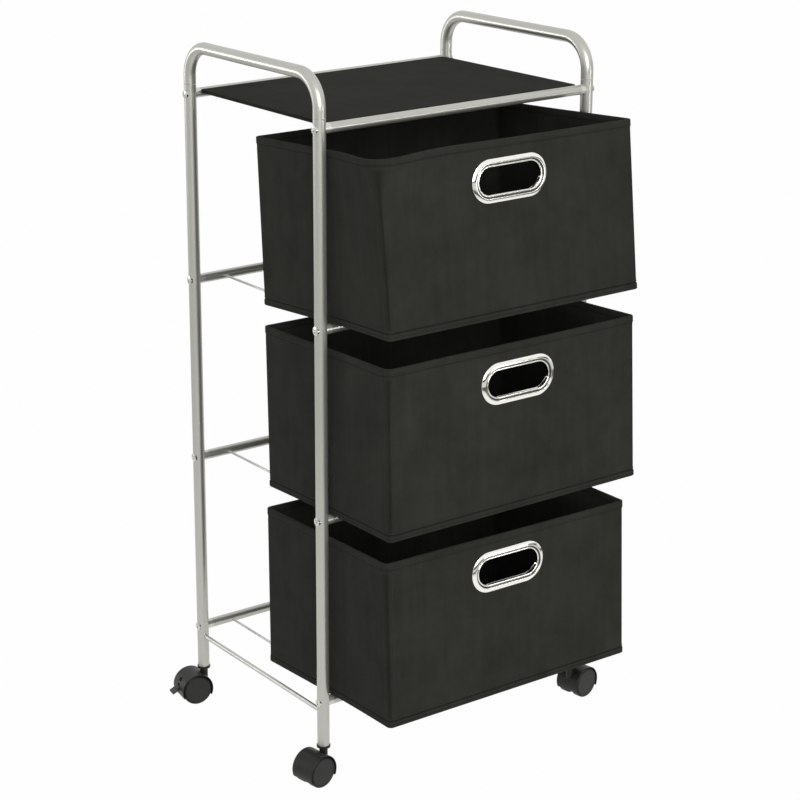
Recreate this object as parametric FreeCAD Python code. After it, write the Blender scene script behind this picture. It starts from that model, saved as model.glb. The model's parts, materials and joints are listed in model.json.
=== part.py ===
"""Rolling storage shelf: a tubular steel frame on twin-wheel castors with three pull-out fabric bins.

Millimetres. Origin on the floor at the middle of the four legs; +X to the right, front towards -Y, +Z up.
"""
import FreeCAD, Part
import math
import os

V = FreeCAD.Vector
X, Y, Z = V(1, 0, 0), V(0, 1, 0), V(0, 0, 1)

# Clearances
RUN = 0.05              # radial running fit of pins and stems
FIT = 0.1               # push fit of fixed pieces
SEAT = 0.3              # between a moving piece and what it rests on

# Frame tubes and wires
LEG_OD = 16.0
LEG_WALL = 1.0
RAIL_OD = 12.7
RAIL_WALL = 1.0
WIRE_D = 3.2
ROD_D = 6.0

# Frame layout
LEG_SPACING_X = 420.0   # leg axis to leg axis, side to side
LEG_SPACING_Y = 291.5   # leg axis to leg axis, front to rear
LEVEL_PITCH = 250.0
LEG_FOOT = 60.5         # lower rails above the legs' lower ends
WIRE_INSET = 46.0       # leg axis to shelf wire
WIRE_DROP = 0.8         # rail axis down to the shelf wires
ROD_DROP = 15.0         # lower rail axis down to the side rods

# Handle hoops
HOOP_JOINT_RISE = 13.0  # top rail axis up to the joint with the legs
HOOP_STRAIGHT = 10.5    # joint up to the start of the bend
HOOP_BEND_R = 40.0
JOINT_BEVEL = 0.5       # on the tube ends that meet at the joint
SPIGOT_LENGTH = 25.0
SPIGOT_ROOT = 4.0

# Rail ends
SADDLE_LENGTH = 5.6     # leg surface to rail end
SADDLE_OD = 13.0
INSERT_LENGTH = 14.0
SCREW_D = 5.0
SCREW_TIP_GAP = 2.0     # screw tip to the insert's inner end
HEAD_D = 11.0
HEAD_EDGE = 0.3
HEAD_DOME = 1.0
RECESS_LENGTH = 5.6
RECESS_WIDTH = 1.1
RECESS_DEPTH = 1.1

# Top panel: a board in a wrapped fabric cover
PANEL_END_GAP = 2.0     # to the legs
PANEL_EDGE_GAP = 0.6    # to the rails
PANEL_BOARD_T = 3.0
PANEL_FABRIC_T = 0.8
PANEL_CORNER_R = 5.0
PANEL_HEM = 28.0

# Fabric bins
BIN_SIDE_GAP = 7.6      # to the legs, on average
BIN_SIDE_SHIFT = -4.0   # bins stand a little to the left
BIN_DEPTH_PLAY = 16.8   # free play between the rails
BIN_HEADROOM = 32.3     # level pitch less the bin's height
BIN_WALL = 3.0
BIN_FLOOR = 2.5
BIN_CORNER_R = 7.0
BIN_LIP_H = 7.0         # turned-out seam round the floor
BIN_LIP_OUT = 1.0
BASE_BOARD_T = 3.0
BASE_BOARD_GAP = 1.0
BIN_PULL = {"upper": 144.0, "middle": 150.0, "lower": 147.0}   # drawn out from the rear rail

# Hand-hole eyelets
EYELET_HOLE_W = 96.0
EYELET_HOLE_H = 34.0
EYELET_BAND = 10.0
EYELET_T = 2.6
EYELET_ROUND = 1.8
EYELET_BARREL = 1.0
EYELET_DROP = 49.0      # bin rim down to the hole's middle
EYELET_SHIFT = {"upper": -3.5, "middle": 6.0, "lower": -1.5}    # to the side of the front's middle
WASHER_T = 1.0
WASHER_BAND = 8.0

# Castors
WHEEL_D = 42.5
WHEEL_W = 11.6
WHEEL_EDGE_R = 3.0
WHEEL_INNER_EDGE = 0.8
WHEEL_HUB_R = 6.0
WHEEL_RIM_T = 3.5
WHEEL_RECESS = 8.0
FACE_DISH_MARGIN = 1.2
FACE_DISH = 0.5
TRAIL = 16.5
AXLE_D = 5.0
AXLE_REACH = 8.0        # into each wheel's hub
BOSS_W = 11.0           # middle web between the wheels
BOSS_R = 8.0            # round the axle
WHEEL_SIDE_GAP = 0.5
HOOD_GAP = 0.5          # wheel tread to hood
HOOD_WALL = 1.3
HOOD_OVERHANG = 0.4     # hood edge past the wheel face
HOOD_EDGE_R = 1.0
HOOD_SKIRT = 9.5        # axle down to the hood's lower edge
NECK_D = 10.9
NECK_ABOVE_HOOD = 0.8
STEM_D = 7.0
STEM_SEAT = 17.0        # stem depth in the neck
STEM_REACH = 24.0       # stem above the leg's lower end
COLLAR_D = 10.0
COLLAR_T = 1.7
SOCKET_FLANGE_D = 18.0
SOCKET_FLANGE_T = 3.0
SOCKET_LENGTH = 26.0
CASTOR_TURN = {
    ("front", "left"): 8.9,
    ("rear", "left"): -9.6,
    ("front", "right"): 190.0,
    ("rear", "right"): 168.0,
}

# Brake pedals of the rear castors, measured from the axle
BRAKE_PIVOT_OUT = 12.5
BRAKE_PIVOT_UP = 4.0
BRAKE_PIN_D = 3.0
BRAKE_BARREL_R = 3.0
BRAKE_ARM_W = 6.4
BRAKE_ARM_T = 4.0
BRAKE_ARM_DROP = 3.2    # pivot down to the middle of the arm's outer end
BRAKE_PEDAL_GAP = 2.2   # hood to pedal
BRAKE_PEDAL_L = 9.5
BRAKE_PEDAL_W = 12.0
BRAKE_PEDAL_T = 3.0
BRAKE_PEDAL_R = 1.2
BRAKE_PEDAL_TILT = 27.0 # outer edge down
BRAKE_SLOT_GAP = 0.4
BRAKE_SLOT_UP = 7.6
BRAKE_SLOT_DOWN = 4.6
VENT_ANGLE = 36.0       # small moulded pocket in a braked hood, above the axle line
VENT_LENGTH = 8.0
VENT_WIDTH = 5.0
VENT_DEPTH = 2.2

SIDES = {"left": -1, "right": 1}
ENDS = {"front": -1, "rear": 1}
LEVELS = ("lower", "middle", "upper", "top")
BINS = ("upper", "middle", "lower")

# Heights from the floor up
WHEEL_R = WHEEL_D / 2
AXLE_Z = WHEEL_R
HOOD_INNER_R = WHEEL_R + HOOD_GAP
HOOD_OUTER_R = HOOD_INNER_R + HOOD_WALL
NECK_TOP = AXLE_Z + HOOD_OUTER_R + NECK_ABOVE_HOOD
SOCKET_BASE = NECK_TOP + COLLAR_T + SEAT
LEG_BASE = SOCKET_BASE + SOCKET_FLANGE_T
LEVEL_Z = {name: LEG_BASE + LEG_FOOT + LEVEL_PITCH * i for i, name in enumerate(LEVELS)}
HOOP_JOINT = LEVEL_Z["top"] + HOOP_JOINT_RISE
HOOP_BEND_BASE = HOOP_JOINT + HOOP_STRAIGHT
HOOP_GRIP = HOOP_BEND_BASE + HOOP_BEND_R

# Plan sizes
LEG_R = LEG_OD / 2
LEG_ID = LEG_OD - 2 * LEG_WALL
RAIL_ID = RAIL_OD - 2 * RAIL_WALL
RAIL_HALF = LEG_SPACING_X / 2 - LEG_R - SADDLE_LENGTH
WIRE_SEAT = WIRE_D / 2 - WIRE_DROP + SEAT       # resting height over a rail axis
BIN_W = LEG_SPACING_X - LEG_OD - 2 * BIN_SIDE_GAP
BIN_D = LEG_SPACING_Y - RAIL_OD - BIN_DEPTH_PLAY
BIN_H = LEVEL_PITCH - BIN_HEADROOM
WHEEL_INNER_Y = BOSS_W / 2 + WHEEL_SIDE_GAP
WHEEL_OUTER_Y = WHEEL_INNER_Y + WHEEL_W
HOOD_HALF = WHEEL_OUTER_Y + HOOD_OVERHANG


def cylinder(diameter, length, start, direction):
    """Round bar from a start point along a direction."""
    return Part.makeCylinder(diameter / 2, length, start, direction)


def tube(outer_d, wall, length, start, direction):
    """Round tube from a start point along a direction."""
    bar = cylinder(outer_d, length, start, direction)
    return bar.cut(cylinder(outer_d - 2 * wall, length, start, direction))


def block(low, high):
    """Box between two corners."""
    return Part.makeBox(high.x - low.x, high.y - low.y, high.z - low.z, low)


def rounded_block(low, high, radius):
    """Box between two corners with its upright edges rounded."""
    box = block(low, high)
    upright = [e for e in box.Edges if abs(e.Vertexes[0].Z - e.Vertexes[1].Z) > (high.z - low.z) / 2]
    return box.makeFillet(radius, upright)


def stadium(width, height, middle, depth):
    """Slot-shaped prism with half-round ends: its near face is round a middle point, square to Y."""
    r = height / 2
    along, up = X * (width / 2 - r), Z * r
    right, left = middle + along, middle - along
    edges = [
        Part.LineSegment(left + up, right + up).toShape(),
        Part.Arc(right + up, right + X * r, right - up).toShape(),
        Part.LineSegment(right - up, left - up).toShape(),
        Part.Arc(left - up, left - X * r, left + up).toShape(),
    ]
    return Part.Face(Part.Wire(edges)).extrude(Y * depth)


def leg_xy(side, end):
    """Plan position of a leg's axis."""
    return SIDES[side] * LEG_SPACING_X / 2, ENDS[end] * LEG_SPACING_Y / 2


def leg_bar(side, end):
    """The space that a leg fills, used to shape what seats against it."""
    x, y = leg_xy(side, end)
    return cylinder(LEG_OD, HOOP_JOINT - LEG_BASE, V(x, y, LEG_BASE), Z)


def rail_bar(end, level):
    """The space that a rail fills from leg axis to leg axis."""
    y = ENDS[end] * LEG_SPACING_Y / 2
    return cylinder(RAIL_OD, LEG_SPACING_X, V(-LEG_SPACING_X / 2, y, LEVEL_Z[level]), X)


def screw_drill(side, end, level):
    """Clearance hole for a rail screw, right through a leg."""
    x, y = leg_xy(side, end)
    return cylinder(SCREW_D + 2 * FIT, 2 * LEG_OD, V(x - LEG_OD, y, LEVEL_Z[level]), X)


def bevel_end(body, middle):
    """Bevel the outer edge of a leg-sized tube's end, found by the end's middle."""
    circles = [e for e in body.Edges if isinstance(e.Curve, Part.Circle)]
    rim = [e for e in circles if e.Curve.Center.isEqual(middle, 1e-3) and abs(e.Curve.Radius - LEG_R) < 1e-3]
    return body.makeChamfer(JOINT_BEVEL, rim)


def leg(side, end):
    """Upright tube, bevelled at the hoop joint and cross-drilled at each level for the rail screws."""
    x, y = leg_xy(side, end)
    body = tube(LEG_OD, LEG_WALL, HOOP_JOINT - LEG_BASE, V(x, y, LEG_BASE), Z)
    body = bevel_end(body, V(x, y, HOOP_JOINT))
    return body.cut(Part.makeCompound([screw_drill(side, end, level) for level in LEVELS]))


def hoop_path(x):
    """Inverted U from the front joint over the grip to the rear joint."""
    half = LEG_SPACING_Y / 2
    flat = half - HOOP_BEND_R
    reach = HOOP_BEND_R * math.sqrt(0.5)
    front_base, rear_base = V(x, -half, HOOP_JOINT), V(x, half, HOOP_JOINT)
    front_low, rear_low = V(x, -half, HOOP_BEND_BASE), V(x, half, HOOP_BEND_BASE)
    front_top, rear_top = V(x, -flat, HOOP_GRIP), V(x, flat, HOOP_GRIP)
    edges = [
        Part.LineSegment(front_base, front_low).toShape(),
        Part.Arc(front_low, V(x, -flat - reach, HOOP_BEND_BASE + reach), front_top).toShape(),
        Part.LineSegment(front_top, rear_top).toShape(),
        Part.Arc(rear_top, V(x, flat + reach, HOOP_BEND_BASE + reach), rear_low).toShape(),
        Part.LineSegment(rear_low, rear_base).toShape(),
    ]
    return Part.Wire(edges)


def hoop(side):
    """Bent handle tube; a reduced spigot at each end plugs into a leg, held by the leg's top screw."""
    x = SIDES[side] * LEG_SPACING_X / 2
    path = hoop_path(x)
    start = V(x, -LEG_SPACING_Y / 2, HOOP_JOINT)
    rings = [Part.Wire(Part.Circle(start, Z, r).toShape()) for r in (LEG_R, LEG_ID / 2)]
    body = path.makePipeShell([rings[0]], True, False).cut(path.makePipeShell([rings[1]], True, False))
    spigot_d = LEG_ID - 2 * FIT
    for end in ENDS:
        y = leg_xy(side, end)[1]
        root = V(x, y, HOOP_JOINT)
        body = bevel_end(body, root)
        spigot = cylinder(spigot_d, SPIGOT_LENGTH, root - Z * SPIGOT_LENGTH, Z)
        sleeve = cylinder(LEG_ID + LEG_WALL / 2, SPIGOT_ROOT, root, Z)
        bore = cylinder(spigot_d - 2 * LEG_WALL, SPIGOT_LENGTH + SPIGOT_ROOT, root - Z * SPIGOT_LENGTH, Z)
        body = body.fuse(spigot.fuse(sleeve).cut(bore).cut(screw_drill(side, end, "top")))
    return body.removeSplitter()


def rail(end, level):
    """Cross tube between the saddles."""
    y = ENDS[end] * LEG_SPACING_Y / 2
    return tube(RAIL_OD, RAIL_WALL, 2 * RAIL_HALF, V(-RAIL_HALF, y, LEVEL_Z[level]), X)


def rail_stations():
    """Every rail end: side, front or rear, and level."""
    return [(side, end, level) for level in LEVELS for end in ENDS for side in SIDES]


def saddle(side, end, level):
    """Collar between a rail and a leg, hollowed to the leg's round."""
    s = SIDES[side]
    x, y = leg_xy(side, end)
    start = V(s * RAIL_HALF, y, LEVEL_Z[level])
    body = cylinder(SADDLE_OD, abs(x) - RAIL_HALF, start, X * s)
    bore = cylinder(SCREW_D + 2 * FIT, abs(x) - RAIL_HALF, start, X * s)
    return body.cut(leg_bar(side, end)).cut(bore)


def rail_insert(side, end, level):
    """Threaded plug pressed into a rail's end."""
    s = SIDES[side]
    start = V(s * RAIL_HALF, leg_xy(side, end)[1], LEVEL_Z[level])
    body = cylinder(RAIL_ID - 2 * FIT, INSERT_LENGTH, start, X * -s)
    return body.cut(cylinder(SCREW_D + 2 * RUN, INSERT_LENGTH, start, X * -s))


def rail_screw(side, end, level):
    """Pan-head screw through the leg into the rail, with a cross recess."""
    s = SIDES[side]
    x, y = leg_xy(side, end)
    face = V(x + s * LEG_R, y, LEVEL_Z[level])
    out = X * s
    head_r = HEAD_D / 2
    sink = LEG_R - math.sqrt(LEG_R ** 2 - head_r ** 2)
    sphere_r = (head_r ** 2 + HEAD_DOME ** 2) / (2 * HEAD_DOME)
    rim = cylinder(HEAD_D, sink + HEAD_EDGE, face - out * sink, out)
    cap = cylinder(HEAD_D, HEAD_DOME, face + out * HEAD_EDGE, out)
    cap = cap.common(Part.makeSphere(sphere_r, face + out * (HEAD_EDGE + HEAD_DOME - sphere_r)))
    head = rim.fuse(cap).cut(leg_bar(side, end)).removeSplitter()
    deep = face + out * (HEAD_EDGE + HEAD_DOME - RECESS_DEPTH)
    for long_y, long_z in ((RECESS_LENGTH, RECESS_WIDTH), (RECESS_WIDTH, RECESS_LENGTH)):
        slot = Part.makeBox(2 * RECESS_DEPTH, long_y, long_z, V(-RECESS_DEPTH, -long_y / 2, -long_z / 2))
        slot.translate(deep + out * RECESS_DEPTH)
        head = head.cut(slot)
    length = abs(x) + LEG_R - RAIL_HALF + INSERT_LENGTH - SCREW_TIP_GAP
    return head.fuse(cylinder(SCREW_D, length, face, X * -s))


def shelf_wire(side, level):
    """Straight wire from front rail to rear rail that carries a shelf or bin."""
    x = SIDES[side] * (LEG_SPACING_X / 2 - WIRE_INSET)
    half = LEG_SPACING_Y / 2
    body = cylinder(WIRE_D, 2 * half, V(x, -half, LEVEL_Z[level] - WIRE_DROP), Y)
    return body.cut(rail_bar("front", level)).cut(rail_bar("rear", level))


def side_rod(side):
    """Tie rod between the front and rear legs of one side."""
    x, half = leg_xy(side, "rear")
    body = cylinder(ROD_D, 2 * half, V(x, -half, LEVEL_Z["lower"] - ROD_DROP), Y)
    return body.cut(leg_bar(side, "front")).cut(leg_bar(side, "rear"))


def panel_corners():
    """Lower and upper corner of the covered top panel."""
    half_x = LEG_SPACING_X / 2 - LEG_R - PANEL_END_GAP
    half_y = LEG_SPACING_Y / 2 - RAIL_OD / 2 - PANEL_EDGE_GAP
    base = LEVEL_Z["top"] + WIRE_SEAT
    return V(-half_x, -half_y, base), V(half_x, half_y, base + PANEL_BOARD_T + 2 * PANEL_FABRIC_T)


def top_panel_board():
    """Stiff board inside the top panel."""
    low, high = panel_corners()
    inset = V(1, 1, 0) * (PANEL_FABRIC_T + FIT) + Z * PANEL_FABRIC_T
    return rounded_block(low + inset, high - inset, PANEL_CORNER_R - PANEL_FABRIC_T)


def top_panel_cover():
    """Fabric wrapped over the board, with a hem turned in underneath."""
    low, high = panel_corners()
    skin = V(1, 1, 1) * PANEL_FABRIC_T
    hem = V(1, 1, 0) * PANEL_HEM
    body = rounded_block(low, high, PANEL_CORNER_R)
    body = body.cut(rounded_block(low + skin, high - skin, PANEL_CORNER_R - PANEL_FABRIC_T))
    window_top = V(high.x, high.y, low.z + PANEL_FABRIC_T) - hem
    return body.cut(block(low + hem, window_top))


def bin_rear_y(name):
    """Rear lower edge of a bin, drawn out from the rear rail."""
    return LEG_SPACING_Y / 2 - RAIL_OD / 2 - BIN_PULL[name]


def bin_pitch(name):
    """Tilt in radians of a bin that rides over the front rail with its rear edge on the wires."""
    run = bin_rear_y(name) + LEG_SPACING_Y / 2
    lift = RAIL_OD / 2 + SEAT
    return math.asin(lift / math.hypot(run, WIRE_SEAT)) - math.atan2(WIRE_SEAT, run)


def place_bin(shape, name):
    """Move a bin piece from the bin's own frame, at its rear lower edge, to its place in the shelf."""
    shape.rotate(V(0, 0, 0), X, -math.degrees(bin_pitch(name)))
    shape.translate(V(BIN_SIDE_SHIFT, bin_rear_y(name), LEVEL_Z[name] + WIRE_SEAT))
    return shape


def hand_hole(name, y):
    """Middle of a bin's hand hole at a depth of the front wall, in the bin's own frame."""
    return V(EYELET_SHIFT[name], y, BIN_H - EYELET_DROP)


def bin_shell(name):
    """Open-topped sewn box with stiffened walls, a seam lip round the floor and a slot-shaped hand hole."""
    wall = V(BIN_WALL, BIN_WALL, 0)
    lip = V(BIN_LIP_OUT, BIN_LIP_OUT, 0)
    low, high = V(-BIN_W / 2, -BIN_D, 0), V(BIN_W / 2, 0, BIN_H)
    inner_low, inner_high = low + wall + Z * BIN_FLOOR, high - wall + Z
    lip_high = V(high.x, high.y, BIN_LIP_H) + lip
    body = rounded_block(low, high, BIN_CORNER_R)
    body = body.fuse(rounded_block(low - lip, lip_high, BIN_CORNER_R + BIN_LIP_OUT))
    body = body.cut(rounded_block(inner_low, inner_high, BIN_CORNER_R - BIN_WALL))
    grow = 2 * (EYELET_BARREL + FIT)
    width, height = EYELET_HOLE_W + grow, EYELET_HOLE_H + grow
    return body.cut(stadium(width, height, hand_hole(name, -BIN_D), 2 * BIN_WALL))


def bin_base_board():
    """Loose stiffener on the bin's floor."""
    inset = BIN_WALL + BASE_BOARD_GAP
    low = V(-BIN_W / 2 + inset, -BIN_D + inset, BIN_FLOOR)
    high = V(BIN_W / 2 - inset, -inset, BIN_FLOOR + BASE_BOARD_T)
    return rounded_block(low, high, BIN_CORNER_R - BIN_WALL)


def bin_eyelet(name):
    """Metal eyelet: rounded flange on the front face and a barrel through the wall."""
    face, wall = hand_hole(name, -BIN_D - EYELET_T), hand_hole(name, -BIN_D)
    grow = 2 * EYELET_BAND
    flange = stadium(EYELET_HOLE_W + grow, EYELET_HOLE_H + grow, face, EYELET_T)
    front = [e for e in flange.Edges if all(abs(v.Y + BIN_D + EYELET_T) < FIT for v in e.Vertexes)]
    flange = flange.makeFillet(EYELET_ROUND, front)
    lip = 2 * EYELET_BARREL
    barrel = stadium(EYELET_HOLE_W + lip, EYELET_HOLE_H + lip, wall, BIN_WALL + WASHER_T)
    hole = stadium(EYELET_HOLE_W, EYELET_HOLE_H, face, EYELET_T + BIN_WALL + WASHER_T)
    return flange.fuse(barrel).cut(hole).removeSplitter()


def bin_eyelet_washer(name):
    """Flat ring that clamps the eyelet on the wall's inner face."""
    middle = hand_hole(name, -BIN_D + BIN_WALL)
    lip = 2 * (EYELET_BARREL + FIT)
    grow = lip + 2 * WASHER_BAND
    ring = stadium(EYELET_HOLE_W + grow, EYELET_HOLE_H + grow, middle, WASHER_T)
    return ring.cut(stadium(EYELET_HOLE_W + lip, EYELET_HOLE_H + lip, middle, WASHER_T))


def place_castor(shape, end, side):
    """Turn a castor piece about its swivel axis and move it under its leg."""
    shape.rotate(V(0, 0, 0), Z, CASTOR_TURN[end, side])
    x, y = leg_xy(side, end)
    shape.translate(V(x, y, 0))
    return shape


def castor_socket(side, end):
    """Plastic plug in the leg's lower end, with a flange and a bore for the castor stem."""
    x, y = leg_xy(side, end)
    flange = cylinder(SOCKET_FLANGE_D, SOCKET_FLANGE_T, V(x, y, SOCKET_BASE), Z)
    plug = cylinder(LEG_ID - 2 * FIT, SOCKET_LENGTH, V(x, y, LEG_BASE), Z)
    bore = cylinder(STEM_D + 2 * RUN, SOCKET_FLANGE_T + SOCKET_LENGTH, V(x, y, SOCKET_BASE), Z)
    return flange.fuse(plug).cut(bore)


def castor_stem():
    """Swivel pin with a thrust collar."""
    low = NECK_TOP - STEM_SEAT
    pin = cylinder(STEM_D, LEG_BASE + STEM_REACH - low, V(0, 0, low), Z)
    return pin.fuse(cylinder(COLLAR_D, COLLAR_T, V(0, 0, NECK_TOP), Z))


def castor_axle():
    """Pin through the web that carries both wheels."""
    half = WHEEL_INNER_Y + AXLE_REACH
    return cylinder(AXLE_D, 2 * half, V(-TRAIL, -half, AXLE_Z), Y)


def castor_wheel(hand):
    """Cup-shaped wheel: hub, recess towards the web, rounded tread and a dished outer face."""
    inner, outer = WHEEL_INNER_Y, WHEEL_OUTER_Y
    bore_r = AXLE_D / 2 + RUN
    bore_end = inner + AXLE_REACH + SEAT
    rim_r = WHEEL_R - WHEEL_RIM_T
    dish_r = WHEEL_R - WHEEL_EDGE_R - FACE_DISH_MARGIN
    turn = WHEEL_EDGE_R * (1 - math.sqrt(0.5))
    corner = Part.Arc(
        V(WHEEL_R, outer - WHEEL_EDGE_R, 0),
        V(WHEEL_R - turn, outer - turn, 0),
        V(WHEEL_R - WHEEL_EDGE_R, outer, 0),
    ).toShape()
    face = [
        V(WHEEL_R - WHEEL_EDGE_R, outer, 0), V(dish_r + FACE_DISH, outer, 0), V(dish_r, outer - FACE_DISH, 0),
        V(0, outer - FACE_DISH, 0), V(0, bore_end, 0), V(bore_r, bore_end, 0), V(bore_r, inner, 0),
        V(WHEEL_HUB_R, inner, 0), V(WHEEL_HUB_R, inner + WHEEL_RECESS, 0), V(rim_r, inner + WHEEL_RECESS, 0),
        V(rim_r, inner, 0), V(WHEEL_R - WHEEL_INNER_EDGE, inner, 0), V(WHEEL_R, inner + WHEEL_INNER_EDGE, 0),
        V(WHEEL_R, outer - WHEEL_EDGE_R, 0),
    ]
    outline = Part.Wire([corner] + Part.makePolygon(face).Edges)
    body = Part.Face(outline).revolve(V(0, 0, 0), Y, 360)
    if hand < 0:
        body.rotate(V(0, 0, 0), Z, 180)
    body.translate(V(-TRAIL, 0, AXLE_Z))
    return body


def castor_hood(braked):
    """Hood over both wheels with the middle web, axle boss and stem neck; slotted for a pedal if braked."""
    axle = V(-TRAIL, 0, AXLE_Z)
    reach = HOOD_OUTER_R + 1
    span = V(reach, HOOD_HALF + 1, 0)
    keep = block(axle - span - Z * HOOD_SKIRT, axle + span + Z * reach)
    outer = cylinder(2 * HOOD_OUTER_R, 2 * HOOD_HALF, axle - Y * HOOD_HALF, Y)
    outer = outer.makeFillet(HOOD_EDGE_R, [e for e in outer.Edges if len(e.Vertexes) == 1])
    shell = outer.cut(cylinder(2 * HOOD_INNER_R, 2 * HOOD_HALF, axle - Y * HOOD_HALF, Y))
    web = cylinder(HOOD_INNER_R + HOOD_OUTER_R, BOSS_W, axle - Y * BOSS_W / 2, Y)
    boss = cylinder(2 * BOSS_R, BOSS_W, axle - Y * BOSS_W / 2, Y)
    neck = cylinder(NECK_D, NECK_TOP - AXLE_Z, V(0, 0, AXLE_Z), Z)
    body = shell.fuse(web).common(keep).fuse([boss, neck]).removeSplitter()
    body = body.cut(cylinder(AXLE_D + 2 * RUN, BOSS_W, axle - Y * BOSS_W / 2, Y))
    body = body.cut(cylinder(STEM_D + 2 * RUN, STEM_SEAT, V(0, 0, NECK_TOP - STEM_SEAT), Z))
    if braked:
        half = BRAKE_ARM_W / 2 + BRAKE_SLOT_GAP
        low = axle + V(-reach, -half, -BRAKE_SLOT_DOWN)
        body = body.cut(block(low, axle + V(-BOSS_R - BRAKE_SLOT_GAP, half, BRAKE_SLOT_UP)))
        body = body.cut(cylinder(BRAKE_PIN_D + 2 * RUN, BOSS_W, brake_pivot() - Y * BOSS_W / 2, Y))
        corner = V(-reach, -VENT_LENGTH / 2, -VENT_WIDTH / 2)
        vent = Part.makeBox(reach - HOOD_OUTER_R + VENT_DEPTH, VENT_LENGTH, VENT_WIDTH, corner)
        vent.rotate(V(0, 0, 0), Y, VENT_ANGLE)
        vent.translate(axle)
        body = body.cut(vent)
    return body


def brake_pivot():
    """Pivot of the brake pedal, behind and above the axle."""
    return V(-TRAIL - BRAKE_PIVOT_OUT, 0, AXLE_Z + BRAKE_PIVOT_UP)


def brake_pedal():
    """Pedal with its arm, pivot barrel and moulded pins."""
    pivot = brake_pivot()
    root = V(-TRAIL - HOOD_OUTER_R - BRAKE_PEDAL_GAP, 0, pivot.z - BRAKE_ARM_DROP)
    side = Y * BRAKE_ARM_W / 2
    half_t = Z * BRAKE_ARM_T / 2
    arm_end = root - X * BRAKE_PEDAL_GAP
    corners = [pivot + half_t, pivot - half_t, arm_end - half_t, arm_end + half_t]
    outline = Part.makePolygon([p - side for p in corners + corners[:1]])
    arm = Part.Face(outline).extrude(side * 2)
    barrel = cylinder(2 * BRAKE_BARREL_R, BRAKE_ARM_W, pivot - side, Y)
    pins = cylinder(BRAKE_PIN_D, BOSS_W, pivot - Y * BOSS_W / 2, Y)
    spread = V(0, BRAKE_PEDAL_W / 2, BRAKE_PEDAL_T / 2)
    pedal = rounded_block(root - X * BRAKE_PEDAL_L - spread, root + spread, BRAKE_PEDAL_R)
    pedal.rotate(root, Y, -BRAKE_PEDAL_TILT)
    return arm.fuse([barrel, pins, pedal]).removeSplitter()


def castor_nodes(end, side):
    """All pieces of one castor."""
    name = f"{end}_{side}_castor"
    braked = end == "rear"
    pieces = {
        f"{name}_stem": castor_stem(),
        f"{name}_hood": castor_hood(braked),
        f"{name}_axle": castor_axle(),
        f"{name}_left_wheel": castor_wheel(1),
        f"{name}_right_wheel": castor_wheel(-1),
    }
    if braked:
        pieces[f"{name}_brake_pedal"] = brake_pedal()
    return {node: place_castor(shape, end, side) for node, shape in pieces.items()}


def bin_nodes(name):
    """All pieces of one bin."""
    pieces = {
        f"{name}_bin_shell": bin_shell(name),
        f"{name}_bin_base_board": bin_base_board(),
        f"{name}_bin_eyelet": bin_eyelet(name),
        f"{name}_bin_eyelet_washer": bin_eyelet_washer(name),
    }
    return {node: place_bin(shape, name) for node, shape in pieces.items()}


def frame_nodes():
    """All pieces of the steel frame and its top panel."""
    nodes = {}
    for side in SIDES:
        nodes[f"{side}_hoop"] = hoop(side)
        nodes[f"{side}_side_rod"] = side_rod(side)
        for end in ENDS:
            nodes[f"{end}_{side}_leg"] = leg(side, end)
    for level in LEVELS:
        for end in ENDS:
            nodes[f"{level}_{end}_rail"] = rail(end, level)
    nodes["rail_saddles"] = Part.makeCompound([saddle(*s) for s in rail_stations()])
    nodes["rail_inserts"] = Part.makeCompound([rail_insert(*s) for s in rail_stations()])
    nodes["rail_screws"] = Part.makeCompound([rail_screw(*s) for s in rail_stations()])
    nodes["shelf_wires"] = Part.makeCompound([shelf_wire(s, level) for level in LEVELS for s in SIDES])
    nodes["castor_sockets"] = Part.makeCompound([castor_socket(s, e) for s in SIDES for e in ENDS])
    nodes["top_panel_board"] = top_panel_board()
    nodes["top_panel_cover"] = top_panel_cover()
    return nodes


def build():
    """Every node of the shelf by name."""
    nodes = frame_nodes()
    for name in BINS:
        nodes.update(bin_nodes(name))
    for end in ENDS:
        for side in SIDES:
            nodes.update(castor_nodes(end, side))
    return nodes


def main():
    os.makedirs("parts", exist_ok=True)
    nodes = build()
    for name, shape in nodes.items():
        shape.exportStep(f"parts/{name}.step")
        if not shape.isValid():
            print("not valid:", name)
    solids = sum(len(shape.Solids) for shape in nodes.values())
    print(len(nodes), "nodes,", solids, "solids")


main()
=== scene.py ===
"""Looks of the rolling storage shelf: sewn cloth bins, covered top panel, plated eyelets, paint and castors.

Metres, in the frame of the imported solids: +X right, front towards -Y, +Z up, origin on the floor.
"""
import json
import math
from collections import namedtuple

import bpy
import numpy as np
from mathutils import Matrix, Vector


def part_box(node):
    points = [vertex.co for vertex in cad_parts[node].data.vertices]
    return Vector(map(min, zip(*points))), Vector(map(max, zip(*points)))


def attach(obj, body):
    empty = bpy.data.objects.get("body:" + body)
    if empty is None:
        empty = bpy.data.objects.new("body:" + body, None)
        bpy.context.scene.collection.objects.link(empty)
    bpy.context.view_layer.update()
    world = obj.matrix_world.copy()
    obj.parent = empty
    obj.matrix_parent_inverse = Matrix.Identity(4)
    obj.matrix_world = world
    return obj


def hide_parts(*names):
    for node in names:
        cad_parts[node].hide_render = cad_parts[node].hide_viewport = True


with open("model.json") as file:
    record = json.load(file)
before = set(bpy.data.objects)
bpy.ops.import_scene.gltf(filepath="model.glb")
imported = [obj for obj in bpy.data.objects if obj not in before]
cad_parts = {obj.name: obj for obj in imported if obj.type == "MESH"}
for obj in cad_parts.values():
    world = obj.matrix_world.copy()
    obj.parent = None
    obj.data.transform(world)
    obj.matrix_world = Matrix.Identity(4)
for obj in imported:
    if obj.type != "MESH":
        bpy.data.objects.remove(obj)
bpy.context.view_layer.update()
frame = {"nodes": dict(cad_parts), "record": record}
NODES = frame["nodes"]
BINS = ("upper", "middle", "lower")
MM = 0.001

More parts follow.
